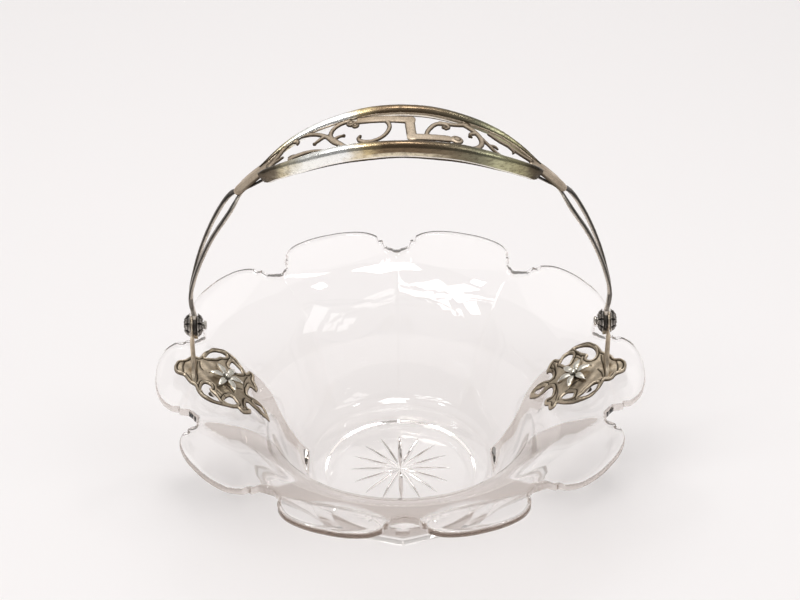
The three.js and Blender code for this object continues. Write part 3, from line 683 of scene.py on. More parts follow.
def ring(radius, height, angles):
    """Points round the Z axis, with a radius and a height for all angles or for each."""
    places = radius * np.cos(angles), radius * np.sin(angles), height
    return np.stack(np.broadcast_arrays(*places), 1)


def star_rings(angles):
    """The underside from the star's tips to its middle, with the rays cut up into the glass."""
    swing = (angles * STAR_RAYS / (2 * math.pi) + 0.5) % 1 - 0.5
    rings = []
    for radius in STAR_RINGS:
        room = 2 * math.pi * radius / STAR_RAYS
        taper = max(0.0, min(1.0, (STAR_REACH - radius) / STAR_POINT)) ** 0.7
        width = min(STAR_HALF_WIDTH * taper, STAR_ROOM_SHARE * room)
        depth = np.maximum(0, width - abs(swing) * room) * STAR_SLOPE
        rings.append(ring(radius, STAR_LOW + depth, angles))
    return rings


def bowl_rings():
    """Rings from the middle of the floor up the inside, over the rim and down under the foot."""
    from_notch, turns = around()
    inner = rim_reach(from_notch) - RIM_ROUND
    half = math.radians(HALF_DEGREES)
    off = half - np.hypot(np.radians(from_notch), math.radians(ARRIS_DEGREES))
    panel = math.cos(half) / np.cos(off)

    def inside(radius):
        return ring(radius, inside_height(radius), turns)

    def outside(radius):
        return ring(radius, outside_height(radius / panel), turns)

    rings = [ring(radius, INSIDE[0][1], turns) for radius in FLOOR_RINGS]
    rings += [inside(radius) for radius in WALL_RINGS]
    wall = WALL_RINGS[-1]
    rings += [inside(wall + (inner - wall) * share) for share in LOBE_SHARES]
    quarter = [math.radians(22.5 * k) for k in (1, 2, 3, 4)]
    over = (inside_height(inner), -RIM_ROUND, quarter)
    under = (outside_height(inner / panel), RIM_ROUND, quarter[::-1])
    for height, lift, bend in (over, under):
        rings += [ring(inner + RIM_ROUND * math.sin(t), height + lift * (1 - math.cos(t)), turns)
                  for t in bend]
    wall = CORNER_RINGS[0] * panel
    rings += [outside(wall + (inner - wall) * share) for share in LOBE_SHARES[::-1]]
    rings += [outside(corner * panel) for corner in CORNER_RINGS]
    rings += [ring(radius * panel, height, turns) for radius, height in FOOT_EDGE]
    even = turns[0] + np.arange(len(turns)) * 2 * math.pi / len(turns)
    rings += [ring(radius, height, even) for radius, height in FOOT_RING]
    return rings + star_rings(even)


def glass_cut_shade(places):
    """How strongly each vertex is painted grey as shade, in the cuts and along the sharp edges."""
    x, y, z = places.T
    radius, turn = np.hypot(x, y), np.degrees(np.arctan2(y, x))
    from_notch = abs(turn % PETAL_DEGREES - HALF_DEGREES)
    outside = (z < inside_height(radius) - 1.2) * (radius > CORNER_RINGS[-1])
    arris = soft(np.radians(from_notch) * radius, 0, 0.6) * outside
    star = np.clip((z - STAR_LOW - 0.1) / 0.8, 0, 1) * (radius < STAR_REACH) * (z < 4)
    foot = soft(radius, FOOT_EDGE[1][0], 0.5) * (z < 0.6)
    well = soft(radius, WELL_RADIUS, 0.7) * (abs(z - INSIDE[0][1]) < 1)
    teeth = soft(from_notch, 0, 4.5) * (radius > rim_reach(from_notch) - RIM_ROUND - 0.1)
    return 0.12 * arris + 0.45 * star + 0.25 * foot + 0.25 * well + 0.2 * teeth


class JARDINIERE_OT_bowl(bpy.types.Operator):
    """Petalled bowl of clear glass: smooth inside, ten panels outside, notched rim, star foot"""

    bl_idname = "jardiniere.bowl"
    bl_label = "Glass Bowl"

    def execute(self, context):
        bowl = loft("petal_bowl", bowl_rings())
        darken(bowl, glass_cut_shade(coordinates(bowl) / MM))
        smooth_shading(bowl, 32)
        dress(bowl, glass_finish(context), "root", "glass_bowl")
        return {"FINISHED"}


# Handle: everything on the arch is drawn flat, along the arch and across it, then rolled up

# Height of the arch's centre, and the radius of the openwork, which is the middle of its sheet
ARCH_HEIGHT = 112.4
WEB_RADIUS = 102.3
# Half width of the open web at a distance from the middle
WEB_HALF = [
    (0, 12.4), (13, 12.1), (26.5, 10.8), (40.4, 9.6), (47, 8.6), (52, 7.1), (56.7, 5.4),
    (61.5, 3.3), (64.5, 2.5),
]
WEB_LINE = smooth_line(WEB_HALF, 8)


def web_half(x):
    return np.interp(np.abs(x), WEB_LINE[:, 0], WEB_LINE[:, 1])


def rolled(places, radius):
    """Flat places, with X as seen from above, laid on the arch of that radius."""
    x, y, up = np.asarray(places, float).T
    angle = np.arcsin(x / radius)
    reach = radius + up
    return np.stack([reach * np.sin(angle), y, ARCH_HEIGHT + reach * np.cos(angle)], 1)


# Strokes of the openwork: points along the arch and towards the back, with their width as drawn
WEB_STROKES = [
    [(6.5, 6, 4.6), (2.7, 6.5, 4.6), (-8, 7.8, 4.6), (-19.5, 8.7, 4.2)],
    [(4.2, 8.6, 4.4), (4.6, 0, 4.4), (5.2, -8.6, 4.4)],
    [(3.5, -7.6, 4.6), (13, -6.9, 4.4), (22.6, -6, 4.2)],
    [(-6.5, 6.6, 2), (-5, 2.2, 2), (-6, -2.9, 1.9), (-9, -7.2, 1.8), (-13.4, -9.4, 2),
     (-18, -8.4, 2.4), (-19.4, -5.4, 1.4), (-18.2, -3.8, 0.9)],
    [(-23.4, 10, 2.2), (-28, 8.9, 2.2), (-31.3, 5.6, 2), (-32, 0.8, 2), (-30.2, -3.4, 2.4),
     (-27, -8.3, 2.6)],
    [(-30.6, -2.5, 2), (-28.2, -0.9, 1.6), (-26, -1, 1)],
    [(-60, -1.4, 2.6), (-57, 2.2, 2.2), (-53, 7, 2.2), (-49, 9.6, 2.2), (-43.5, 9, 2.1),
     (-38, 5.9, 2), (-33.6, 1.2, 2.2), (-30.4, -4.6, 2.4), (-26, -9.4, 2.2)],
    [(-49.6, 8.6, 2.4), (-47.4, 6, 1.8), (-47.6, 4.6, 1)],
    [(-35, 2.6, 2), (-37.6, 0.8, 1.7), (-39.8, -0.8, 1.1)],
    [(-51.5, -4.6, 2.6), (-47.5, -4.6, 2.6), (-41, -6, 2), (-33, -10.6, 1.4)],
    [(-48.5, -4.4, 1.6), (-50, -2.8, 1.2), (-51.4, -2.9, 0.8)],
    [(-61, -0.6, 2), (-57, -0.6, 1.8), (-54.4, -0.1, 1)],
    [(12.3, -8, 2), (11.9, -4.5, 2), (13.6, 0.6, 2.1), (17, 5, 2.2), (20.4, 5.6, 2.4),
     (22.2, 3.2, 1.6), (20.9, 1.6, 1)],
    [(18, 6.2, 2), (24, 6.3, 2), (31.2, 8.8, 2.4)],
    [(29, 8.4, 2.4), (33.4, 5.6, 2.6), (36.8, 1, 2.4), (37.2, -4, 2.3), (35, -8.2, 2.4),
     (31.6, -10.6, 2.6)],
    [(34.4, 3.6, 2.2), (32, 1.2, 1.5), (32.7, -0.4, 0.9)],
    [(36.5, 2.2, 1.8), (40, -2, 1.7), (44.6, -7, 1.6), (50, -8.8, 1.6)],
    [(41, -3.1, 1.5), (43.4, -2, 1.5), (44.6, -3.2, 0.9)],
    [(41, 7, 2), (46, 4.2, 2), (50, 3.4, 2.2), (54.6, 1.6, 2), (60, 0.8, 2.2)],
    [(50, 3.2, 1.6), (52.4, 0.6, 1.3), (52, -1, 0.8)],
]
# Half width of the finished stroke as a share of the width as drawn
STROKE_SHARE = 0.58
# Strip along each edge of the web: half its length, its width as drawn, and how far its middle
# lies outside the edge
WEB_END, EDGE_WIDTH, EDGE_OUT = 64.5, 1.8, 0.6
# Round knobs of the openwork: place and radius, and their half height as a share of the
# thickness of the sheet
WEB_KNOBS = [
    (-22.6, 7.6, 2.4), (-20.6, 5.2, 1.9), (25.7, -5.6, 3.2), (20, 3, 1.2), (-18.6, -4.4, 0.9),
    (-26, -1, 0.9), (-39.6, -0.8, 0.9), (31.8, 0, 0.8),
]
KNOB_SHARE = 0.75
# Outline of a leaf end from its root to its tip: place along the arch and half width
LEAF_SIDE = [
    (62, 4.4), (65, 4.7), (68, 4.9), (71, 5), (73.6, 4.9), (75.4, 4.2), (76.6, 2.8), (77.1, 0.6),
]
LEAF_ROOT = [(60, -1.8), (60, 1.8)]
# Where a leaf starts to rise, the length to its tip, and the half width of its crown
LEAF_START, LEAF_LENGTH, LEAF_HALF_WIDTH = 62, 14.3, 4
# How far a cutter reaches past what it cuts
CUT_REACH = 4


def flat_stroke(name, points, thickness, steps=5):
    """A stroke through points that each have a width as drawn."""
    line = smooth_line(points, steps)
    path = np.column_stack([line[:, :2], np.zeros(len(line))])
    widths = line[:, 2] * STROKE_SHARE
    return sweep(name, path, (0, 0, 1), oval(14, 3), widths, thickness / 2, rounded=2)


def flat_knob(place, radius, thickness):
    """A lens-shaped knob."""
    deselect_all()
    bpy.ops.mesh.primitive_uv_sphere_add(segments=16, ring_count=10, radius=1)
    knob = bpy.context.object
    set_coordinates(knob, (coordinates(knob) * (radius, radius, thickness) + (*place, 0)) * MM)
    return knob


def plate(name, outline, low, high):
    """A flat plate: a filled circle of as many points, set to the outline and extruded."""
    outline = np.asarray(outline, float)
    deselect_all()
    bpy.ops.mesh.primitive_circle_add(vertices=len(outline), radius=1, fill_type="NGON")
    piece = bpy.context.object
    piece.name = piece.data.name = name
    order = order_round(coordinates(piece), len(outline))
    set_coordinates(piece, np.column_stack([outline[order], np.full(len(order), low)]) * MM)
    lift = {"value": (0, 0, (high - low) * MM)}
    edit(piece, lambda: bpy.ops.mesh.extrude_region_move(TRANSFORM_OT_translate=lift),
         lambda: bpy.ops.mesh.select_all(action="SELECT"), face_outwards)
    return piece


def cut(piece, cutter):
    """Takes cutter out of piece."""
    modify(piece, "BOOLEAN", operation="DIFFERENCE", object=cutter)
    take(cutter)
    bpy.ops.object.delete()


def bar_along_x(name, radius, start, end):
    """A round bar on the pivot axis."""
    deselect_all()
    bpy.ops.mesh.primitive_cylinder_add(
        vertices=ROUND_SIDES, radius=radius * MM, depth=(end - start) * MM)
    bar = bpy.context.object
    bar.name = bar.data.name = name
    x, y, z = coordinates(bar).T
    middle = (start + end) / 2 * MM
    set_coordinates(bar, np.column_stack([z + middle, x, y + PIVOT_HEIGHT * MM]))
    edit(bar, face_outwards)
    return bar


def cast(piece, name, voxel, rounds=3):
    """Melts joined strokes and plates into one soft-edged casting of that name."""
    piece.name = piece.data.name = name
    modify(piece, "REMESH", mode="VOXEL", voxel_size=voxel * MM)
    modify(piece, "SMOOTH", factor=0.5, iterations=rounds)


def grip_parts(thickness):
    """The flat strokes, knobs, edge strips and leaf ends that the grip is cast from."""
    parts = [flat_stroke(f"scroll_{k}", s, thickness) for k, s in enumerate(WEB_STROKES)]
    parts += [flat_knob((x, y), radius, thickness * KNOB_SHARE) for x, y, radius in WEB_KNOBS]
    xs = np.linspace(-WEB_END, WEB_END, 60)
    leaf = smooth_line(LEAF_SIDE, 5)
    for side in (-1, 1):
        ys = side * (web_half(xs) + EDGE_OUT)
        edge = np.column_stack([xs, ys, np.full(len(xs), EDGE_WIDTH)])
        parts.append(flat_stroke(f"edge_{side}", edge, thickness, 1))
        outline = np.vstack([leaf, leaf[::-1] * (1, -1), LEAF_ROOT]) * (side, 1)
        parts.append(plate(f"leaf_{side}", outline, -thickness / 2, thickness / 2))
    return parts


def stroke_depth(flat):
    """How far flat places lie inside the strokes, knobs and leaf ends."""
    depth = np.full(len(flat), -9.0)
    for points in WEB_STROKES:
        for start, end, share, gap in gaps_to(flat, smooth_line(points, 4)):
            half = (start[2] + (end[2] - start[2]) * share) * STROKE_SHARE
            depth = np.maximum(depth, half - gap)
    for x, y, radius in WEB_KNOBS:
        reach = np.hypot(flat[:, 0] - x, flat[:, 1] - y)
        depth = np.maximum(depth, np.minimum(radius - reach, abs(reach - radius * 0.45) * 2))
    leaf = smooth_line(LEAF_SIDE, 4)
    width = np.interp(abs(flat[:, 0]), leaf[:, 0], leaf[:, 1], left=-9, right=-9)
    return np.maximum(depth, width - abs(flat[:, 1]))


def shade_and_crown_grip(grip, thickness):
    """Painted shade along the edges of the strokes and on their sides and undersides, dark leaf
    veins, and a crown on the leaf ends.
    """
    places = coordinates(grip) / MM
    x, y, up = abs(places[:, 0]), places[:, 1], places[:, 2]
    tip = np.clip((x - LEAF_START) / LEAF_LENGTH, 0, 1)
    # Painted shade along the edges of each stroke's top
    outline = soft(stroke_depth(places[:, :2]), 0.15, 0.6) * (1 - 0.55 * tip)
    vein = soft(abs(y) - 0.9, 0, 0.3) * (x > LEAF_START + 2) * 0.3
    # Painted shade on the sides and undersides
    side_shade = np.clip(0.5 - up / (thickness / 2), 0, 1) * (0.8 - 0.5 * tip)
    darken(grip, np.maximum(outline, vein) + side_shade)
    places[:, 2] += tip * (np.maximum(0, 1 - (y / LEAF_HALF_WIDTH) ** 2) - 0.3)
    set_coordinates(grip, rolled(places, WEB_RADIUS) * MM)


class JARDINIERE_OT_grip(bpy.types.Operator):
    """Pierced panel of the handle: a broken band, scrolls and leaf ends, rolled to the arch"""

    bl_idname = "jardiniere.grip"
    bl_label = "Openwork Grip"

    def execute(self, context):
        thickness = context.scene.jardiniere_sizes.grip_thickness / MM
        grip = join(grip_parts(thickness))
        cast(grip, "openwork_grip", 0.36)
        shade_and_crown_grip(grip, thickness)
        smooth_shading(grip, 60)
        dress(grip, panel_finish(context), "bail", "grip_panel")
        return {"FINISHED"}


# Rail: a crowned moulding. Its skin from the foot on the panel over the crown to the lower
# edge, as shares of the width and of the crown or the drop
RAIL_SKIN = [
    (0, 0), (0.03, 0.22), (0.1, 0.46), (0.2, 0.68), (0.32, 0.86), (0.45, 0.97), (0.56, 1),
    (0.68, 0.94), (0.79, 0.78), (0.88, 0.54), (0.94, 0.28), (0.98, 0.02), (1, -0.2), (1, -0.5),
    (0.99, -0.8), (0.97, -1),
]
# Its further way round the bead of the lower edge and back up the hollow side: share of the
# width, what is added to it, share of the drop and what is added to that
RAIL_BACK = [
    (0.97, 0.15, -1, -0.3), (0.97, -0.25, -1, -0.65), (0.97, -0.8, -1, -0.45), (1, -1, -1, 0),
    (1, -0.9, -0.5, 0), (0.8, -0.27, -0.1, -0.5), (0.4, 0, 0, -0.9), (0, 0.25, 0, -0.9),
]
RAIL_WIDTH, RAIL_CROWN, RAIL_DROP = 5.5, 2.2, 4.9
# Half length of a rail, its count of sections, and how far it laps the edge of the web
RAIL_END, RAIL_SECTIONS, RAIL_LAP = 64.9, 120, 0.2
# Size of the section at a distance from the middle
RAIL_TAPER = {
    -1: [(0, 1), (26, 1.05), (42, 0.95), (52, 0.88), (60, 0.86), (63.6, 0.8), (65, 0.62)],
    1: [(0, 0.95), (26, 0.9), (42, 0.7), (52, 0.55), (60, 0.38), (65, 0.2)],
}


def rail_rings(side, low):
    """Sections of the rail from end to end, over the web's upper face at low."""
    taper = smooth_line(RAIL_TAPER[side], 6)
    skin, back = smooth_line(RAIL_SKIN, 2), np.array(RAIL_BACK)
    skin *= np.column_stack([
        np.full(len(skin), RAIL_WIDTH), np.where(skin[:, 1] > 0, RAIL_CROWN, RAIL_DROP)])
    rings = []
    for x in np.linspace(-RAIL_END, RAIL_END, RAIL_SECTIONS):
        size = np.interp(abs(x), taper[:, 0], taper[:, 1])
        hollow = back[:, ::2] * (RAIL_WIDTH * size, RAIL_DROP * size) + back[:, 1::2]
        out, up = np.vstack([skin * size, hollow]).T
        flat = np.column_stack([
            np.full(len(out), x), side * (web_half(x) - RAIL_LAP + out), low + up])
        rings.append(rolled(flat, WEB_RADIUS))
    return rings


def rail_fall(places, side):
    """Place across the rail at each vertex: 0 on the crown, 1 at the lower edge."""
    x, y, z = places.T
    up = np.hypot(x, z - ARCH_HEIGHT) - WEB_RADIUS
    outside = side * y > web_half(x) + RAIL_WIDTH * 0.3
    return np.clip((RAIL_CROWN + 0.6 - up) / (RAIL_CROWN + RAIL_DROP), 0, 1) * outside


class JARDINIERE_OT_rails(bpy.types.Operator):
    """Two polished, crowned rails that edge the openwork"""

    bl_idname = "jardiniere.rails"
    bl_label = "Rails"

    def execute(self, context):
        web_top = context.scene.jardiniere_sizes.grip_thickness / MM / 2
        for side, name in ((-1, "front_rail"), (1, "back_rail")):
            rail = loft(f"{name}_polished", capped(rail_rings(side, web_top)))
            keep(rail, "fall", rail_fall(coordinates(rail) / MM, side))
            smooth_shading(rail, 50)
            dress(rail, polished_finish(context), "bail", name)
        return {"FINISHED"}


# Arm. The middle of its eye lies on the pivot axis, at EYE_PLACE from the middle of the bowl
PIVOT_HEIGHT = 101.2
EYE_PLACE = 99.7
EYE_RADIUS = 4.7
# Point of the teardrop below the eye: across and up from the axis
EYE_TIP = [(-1.2, -7.6), (0, -8.8), (1.2, -7.6)]
PIN_BORE = 1.8
# The strap's distance from the middle at each height, from the eye up to the leaf
ARM_SIDE = [
    (92, 99.7), (101.2, 99.7), (106, 99.9), (111, 100.7), (117, 101.2), (123, 100.7),
    (130, 99.1), (137, 97.2), (144, 94.9), (151, 92.2), (158, 89.1), (165, 85.4), (172, 81),
    (176, 78.1), (180, 74.8), (184, 70.9), (188, 66.3), (190, 63.8),
]
# One strand: height and offset of its centre line to the back. The other one mirrors it.
STRAND = [
    (113, 0.9), (118, 1.1), (123, 2), (128, 3), (135, 4.2), (142, 5.6), (150, 6.7), (158, 7.5),
    (165, 8.2), (170, 8.4), (174, 7.4), (177, 5), (179.5, 2.4), (181.5, 1.4), (184, 2.2),
    (186, 3.4), (188.5, 4.4), (190, 5),
]
STRAND_HALF_WIDTH = 1.5
# Heights between which a strand narrows towards the leaf, and to which share
STRAND_NARROWS, STRAND_END_SHARE = (175, 182), 0.55
# Neck between the eye and the strands: height and half width
NECK = [(103, 3.2), (106, 2), (109, 1.5), (115, 1.7), (118, 2.2)]
NECK_RINGS = 12
# Thickness of the eye and of the neck as shares of a strand's
EYE_SHARE, NECK_SHARE = 0.8, 1.1
# Depth and half width of the groove, as shares of a strand's half thickness and half width
GROOVE_DEPTH_SHARE, GROOVE_WIDTH_SHARE = 0.3, 0.28
ARM_LINE = smooth_line(ARM_SIDE, 8)
STRAND_LINE = smooth_line(STRAND, 8)


def arm_x(height):
    return np.interp(height, ARM_LINE[:, 0], ARM_LINE[:, 1])


def arm_path(heights, offsets):
    """A path on the strap, with its normals square to the strap and away from the middle."""
    step = 0.5
    lean = (arm_x(heights + step) - arm_x(heights - step)) / (2 * step)
    normals = np.column_stack([np.ones(len(heights)), np.zeros(len(heights)), -lean])
    normals /= np.linalg.norm(normals, axis=1)[:, None]
    return np.column_stack([arm_x(heights), offsets, heights]), normals


def grooved():
    """Section of a strand: a flat half round with a shallow groove along its outside."""
    section = oval(18, 2.2)
    groove = soft(section[:, 0], 0, GROOVE_WIDTH_SHARE) * (section[:, 1] > 0)
    section[:, 1] -= GROOVE_DEPTH_SHARE * groove
    return section


def arm_parts(half):
    """The two strands, the eye and the neck that an arm is cast from."""
    parts = []
    heights, offsets = STRAND_LINE.T
    size = np.interp(heights, STRAND_NARROWS, [1, STRAND_END_SHARE])
    for side in (-1, 1):
        path, normals = arm_path(heights, side * offsets)
        parts.append(sweep(f"strand_{side}", path, normals, grooved(), STRAND_HALF_WIDTH * size,
                           half * size, rounded=2))
    turns = np.radians(np.linspace(-50, 230, 30))
    round_eye = EYE_RADIUS * np.column_stack([np.cos(turns), np.sin(turns)])
    eye = plate("eye", np.vstack([round_eye, EYE_TIP]), -half * EYE_SHARE, half * EYE_SHARE)
    y, z, x = (coordinates(eye) / MM).T
    set_coordinates(eye, np.column_stack([EYE_PLACE + x, y, PIVOT_HEIGHT + z]) * MM)
    levels, widths = np.transpose(NECK)
    heights = np.linspace(levels[0], levels[-1], NECK_RINGS)
    path, normals = arm_path(heights, np.zeros(NECK_RINGS))
    widths = np.interp(heights, levels, widths)
    neck = sweep("neck", path, normals, oval(14, 2.6), widths, half * NECK_SHARE)
    return [*parts, eye, neck]


def shade_arm(arm):
    """Painted shade: dark stripes on the outward side and along the strands, and dark edges on the
    eye and the neck.
    """
    x, y, z = (coordinates(arm) / MM).T
    normals = np.empty(3 * len(x))
    arm.data.vertices.foreach_get("normal", normals)
    # Painted shade on the side that faces away from the middle
    outward_shade = soft(normals[::3], 0.45, 0.5) * 1.3
    across = abs(y) - np.interp(z, STRAND_LINE[:, 0], STRAND_LINE[:, 1])
    stripe_shade = (soft(across, -0.35, 0.25) * 0.9 + outward_shade) * (z > 119)
    eye_edge_shade = soft(np.hypot(y, z - PIVOT_HEIGHT), EYE_RADIUS - 0.1, 0.6) * (z < 108)
    neck_edge_shade = np.clip((abs(y) - 0.9) / 0.6, 0, 1) * (z > 108) * (z < 119) * 0.8
    darken(arm, stripe_shade + eye_edge_shade + neck_edge_shade)


class JARDINIERE_OT_arms(bpy.types.Operator):
    """Split strap arms: two grooved strands, a neck and a teardrop eye on the pivot"""

    bl_idname = "jardiniere.arms"
    bl_label = "Strap Arms"

    def execute(self, context):
        arm = join(arm_parts(context.scene.jardiniere_sizes.strand_thickness / MM / 2))
        cast(arm, "split_arm_right", 0.3, 2)
        cut(arm, bar_along_x("bore", PIN_BORE, EYE_PLACE - CUT_REACH, EYE_PLACE + CUT_REACH))
        shade_arm(arm)
        smooth_shading(arm, 60)
        dress_pair(arm, strap_finish(context), "bail", "strap_arm")
        return {"FINISHED"}


# Plaque, drawn for the right side, seen from above
PLAQUE_EDGE = [
    (103.4, 9.6), (101.1, 11.1), (100.3, 13.6), (98.7, 17), (96.8, 19.1), (94.5, 20.5),
    (92.1, 21.2), (89.6, 21.1), (87.1, 20.6), (85.1, 19.9), (83.2, 19.3), (81.5, 18.3),
    (80.2, 17.2), (78.9, 18.5), (77.5, 19.2), (76, 18.1), (74.9, 16.9), (73.8, 14.5),
    (74.1, 12.9), (75.1, 13.1), (76, 12), (76.5, 9.8), (76.4, 8.2), (75.5, 7.5), (73.8, 8.3),
    (71.4, 9.3), (69.2, 9.9), (67.2, 9.7), (65.9, 9.4), (65.3, 8.5), (65.5, 7), (66.4, 5.2),
    (68.2, 2.7), (70.4, 1.9), (72.6, 1.9), (74.2, 2.4), (75.4, 2.1), (76, -0.1), (75.6, -3.1),
    (74.7, -5.5), (73.3, -5), (72.1, -4.8), (71.4, -6.1), (71.8, -8.7), (73.1, -10.4),
    (72.9, -13), (73.6, -15), (75, -15.4), (76.2, -14.8), (76.9, -13), (78.9, -15.4),
    (81.5, -18.3), (84.1, -20.2), (87.2, -21), (90.3, -21), (93.2, -20.2), (95.8, -17.5),
    (97.9, -14.9), (99.3, -12.1), (100, -10.7), (101.2, -11), (102.8, -11.1), (104.5, -10.1),
    (106.1, -7.8), (108.1, -6.9), (110.2, -6), (111.4, -3.6), (111.8, -1.4), (111.3, 1.6),
    (110, 3.2), (108.2, 3.9), (106.6, 4.5), (105.6, 6.3), (104.1, 8.7),
]
PLAQUE_HOLES = [
    [(88, 19.1), (89.5, 19.4), (91.9, 18.9), (94.3, 17.9), (96.2, 16.4), (97.3, 14.6),
     (97.8, 11.9), (97.3, 9.2), (96.3, 7.6), (94.7, 7.5), (93.3, 8.7), (93.1, 10), (94, 11.3),
     (92.7, 13.2), (91, 14.5), (89.3, 17)],
    [(86.8, 16.4), (86.5, 14.6), (85.5, 12.4), (84, 10.6), (83, 10.7), (81.7, 12.4),
     (80.6, 13.9), (81.5, 15.4), (82.4, 16.8), (83.7, 17.4), (85.3, 17.5)],
    [(96.8, -11.4), (96.1, -14.2), (94.6, -16.8), (92.6, -18.2), (90.1, -18.9), (88.2, -18.7),
     (86.9, -17.9), (87.6, -16.6), (89.6, -15.7), (91.6, -13.6), (93.5, -12.4), (95.1, -11.6)],
    [(85.1, -11.6), (84.6, -14.5), (84.2, -15.6), (82.1, -14.6), (79.4, -11.8), (79.3, -11),
     (81, -9.7), (82.2, -9.4), (83.7, -10.5)],
    [(69.3, 3.3), (68.1, 5.3), (67.4, 7), (68.3, 7.6), (70, 6.6), (72, 6), (72.6, 5),
     (71.3, 4.1)],
]
# Fine lines cut into the plaque
PLAQUE_VEINS = [
    [(100.2, 8.6), (100, 5), (100.6, 1), (100.7, -3.6), (100.4, -8)],
    [(97.6, -1.4), (99, -4), (99.6, -8)],
    [(87.3, 18.4), (88.8, 15.6), (90.6, 12)],
    [(85.6, 13.6), (88, 12.8), (90.2, 10.8)],
    [(77.4, 15.6), (78, 11.4), (77.2, 6)],
    [(75.9, 14.9), (76.8, 11)],
    [(77.4, 2), (78, -4.6), (76.6, -10.4)],
    [(81.4, -9), (87, -4.8), (91.4, -4.4)],
    [(82.6, 6.6), (84.6, 3.6), (86.4, 3.4)],
    [(78.8, 0.6), (81, 1.6), (83.8, 5)],
    [(106.8, 2.6), (107.4, -1.4), (106.8, -5.4)],
    [(88, -20), (91, -19.9), (94, -18.6), (96.8, -15)],
    [(87.6, 20.2), (91, 20.3), (94.6, 19.2), (97.6, 16.2)],
]
# Height of the plaque's underside over the glass
PLAQUE_LOW = 2.2
PLAQUE_THICKNESS = 2.0
# Ear from the fold of the plaque to the pivot: height and half width, with the place of the
# middle of its sheet, and half its thickness below and above the step
EAR_SIDE = [
    (71.5, 9.2), (73.5, 8), (76, 5), (79, 2.8), (83, 1.8), (88, 1.5), (94, 1.5), (96.8, 2.2),
    (98, 3.4), (99.4, 4.2), (101.2, 4.6), (103, 4.2), (104.4, 3.3), (105.4, 2), (105.8, 0.6),
]
EAR_PLACE = 101.4
EAR_STEP, EAR_HALVES = (92, 95.5), (1.1, 0.6)


def draped(places, above):
    """Flat places laid over the inside of the glass, above it by a distance and their height."""
    x, y, up = np.asarray(places, float).T
    radius = np.hypot(x, y)
    return np.stack([x, y, inside_height(radius) + above + up], 1)


def ear_rings():
    """Sections of the upright ear, whose inner face is flat and whose lower part is thicker."""
    section = oval(12, 5)
    rings = []
    for height, width in smooth_line(EAR_SIDE, 3):
        half = np.interp(height, EAR_STEP, EAR_HALVES)
        through = section[:, 1] * half + half - EAR_HALVES[1]
        rings.append(np.column_stack([
            EAR_PLACE + through, section[:, 0] * width, np.full(len(section), height)]))
    return capped(rings)


def chase_plaque(plaque, outlines):
    """A raised rim with a groove inside it along each outline, fine veins and a soft swell. The
    grooves and veins are painted dark, tarnish and painted shade, and the sides and underside are
    painted dark as shade.
    """
    places = coordinates(plaque) / MM
    flat, level = places[:, :2], places[:, 2]
    near = np.minimum.reduce([distance_to(flat, np.vstack([o, o[:1]])) for o in outlines])
    veins = [distance_to(flat, smooth_line(vein, 6)) for vein in PLAQUE_VEINS]
    vein = soft(np.minimum.reduce(veins), 0, 0.4)
    rim, groove = soft(near, 0.8, 0.38), soft(near, 1.6, 0.36)
    swell = 0.25 * np.sin(flat[:, 0] * 0.9 + 1) * np.cos(flat[:, 1] * 0.8)
    # Painted shade on the sides and underside
    side = 1 - np.clip((level + 0.1) / 0.45, 0, 1)
    darken(plaque, np.maximum.reduce([groove * 0.9, vein * 0.9, side * 0.8]))
    top = np.clip((level + 0.2) / 0.5, 0, 1)
    places[:, 2] += top * (0.5 * rim - 0.35 * groove - 0.35 * vein + swell)
    set_coordinates(plaque, draped(places, PLAQUE_LOW + PLAQUE_THICKNESS / 2) * MM)


class JARDINIERE_OT_plaques(bpy.types.Operator):
    """Pierced plaques that clasp the glass, each with an upright ear for the pivot"""

    bl_idname = "jardiniere.plaques"
    bl_label = "Pierced Plaques"

    def execute(self, context):
        half = PLAQUE_THICKNESS / 2
        edge = smooth_line(PLAQUE_EDGE, 3, closed=True)
        holes = [smooth_line(hole, 4, closed=True) for hole in PLAQUE_HOLES]
        plaque = plate("plaque", edge, -half, half * 0.5)
        for hole in holes:
            cut(plaque, plate("hole", hole, -CUT_REACH, CUT_REACH))
        cast(plaque, "pierced_plaque_right", 0.27)
        chase_plaque(plaque, [edge, *holes])
        plaque = join([plaque, loft("ear", ear_rings())])
        smooth_shading(plaque, 60)
        dress_pair(plaque, cast_finish(context), "root", "bracket")
        return {"FINISHED"}


# Rosettes on the pivot: radius, petals, and how far the scallops between the petals go in
ROSETTE_RADIUS = 6
ROSETTE_PETALS = 8
ROSETTE_SCALLOP_SHARE = 0.07
# Place of the ringed boss on each petal, and radius of the collar, as shares of the radius
BOSS_SHARE, COLLAR_SHARE = 0.64, 0.3
# Pin with a ring-shaped head on the inside: place along the axis and radius
PIN_PROFILE = [
    (95.2, 0), (95.1, 0.7), (94.5, 1.1), (94.3, 1.5), (94.4, 1.9), (94.8, 2.2), (95.2, 2.2),
    (95.6, 2), (95.7, 1.5), (103.5, 1.5), (103.5, 0),
]
# Flower head: place of its screw, its height over the glass, and the turn of its first petal
SCREW_PLACE = 88.6
FLOWER_LIFT = 3.3
FLOWER_PETALS, FLOWER_TURN = 6, 5
# A petal from the stud to its tip: distance out, height and half width
FLOWER_PETAL = [
    (0.6, 0.9, 0.9), (2.5, 1.9, 1.5), (4.6, 2.3, 2.1), (6.6, 2.1, 1.7), (8.2, 1.6, 0.9),
    (9.1, 1.1, 0.25),
]
PETAL_HALF_THICKNESS = 0.75
STUD_SIZE, STUD_HEIGHT = (1.7, 1.7, 1.3), 2.6
SHANK_RADIUS, SHANK_LENGTH, SHANK_MIDDLE = 1.9, 16.4, -6.7


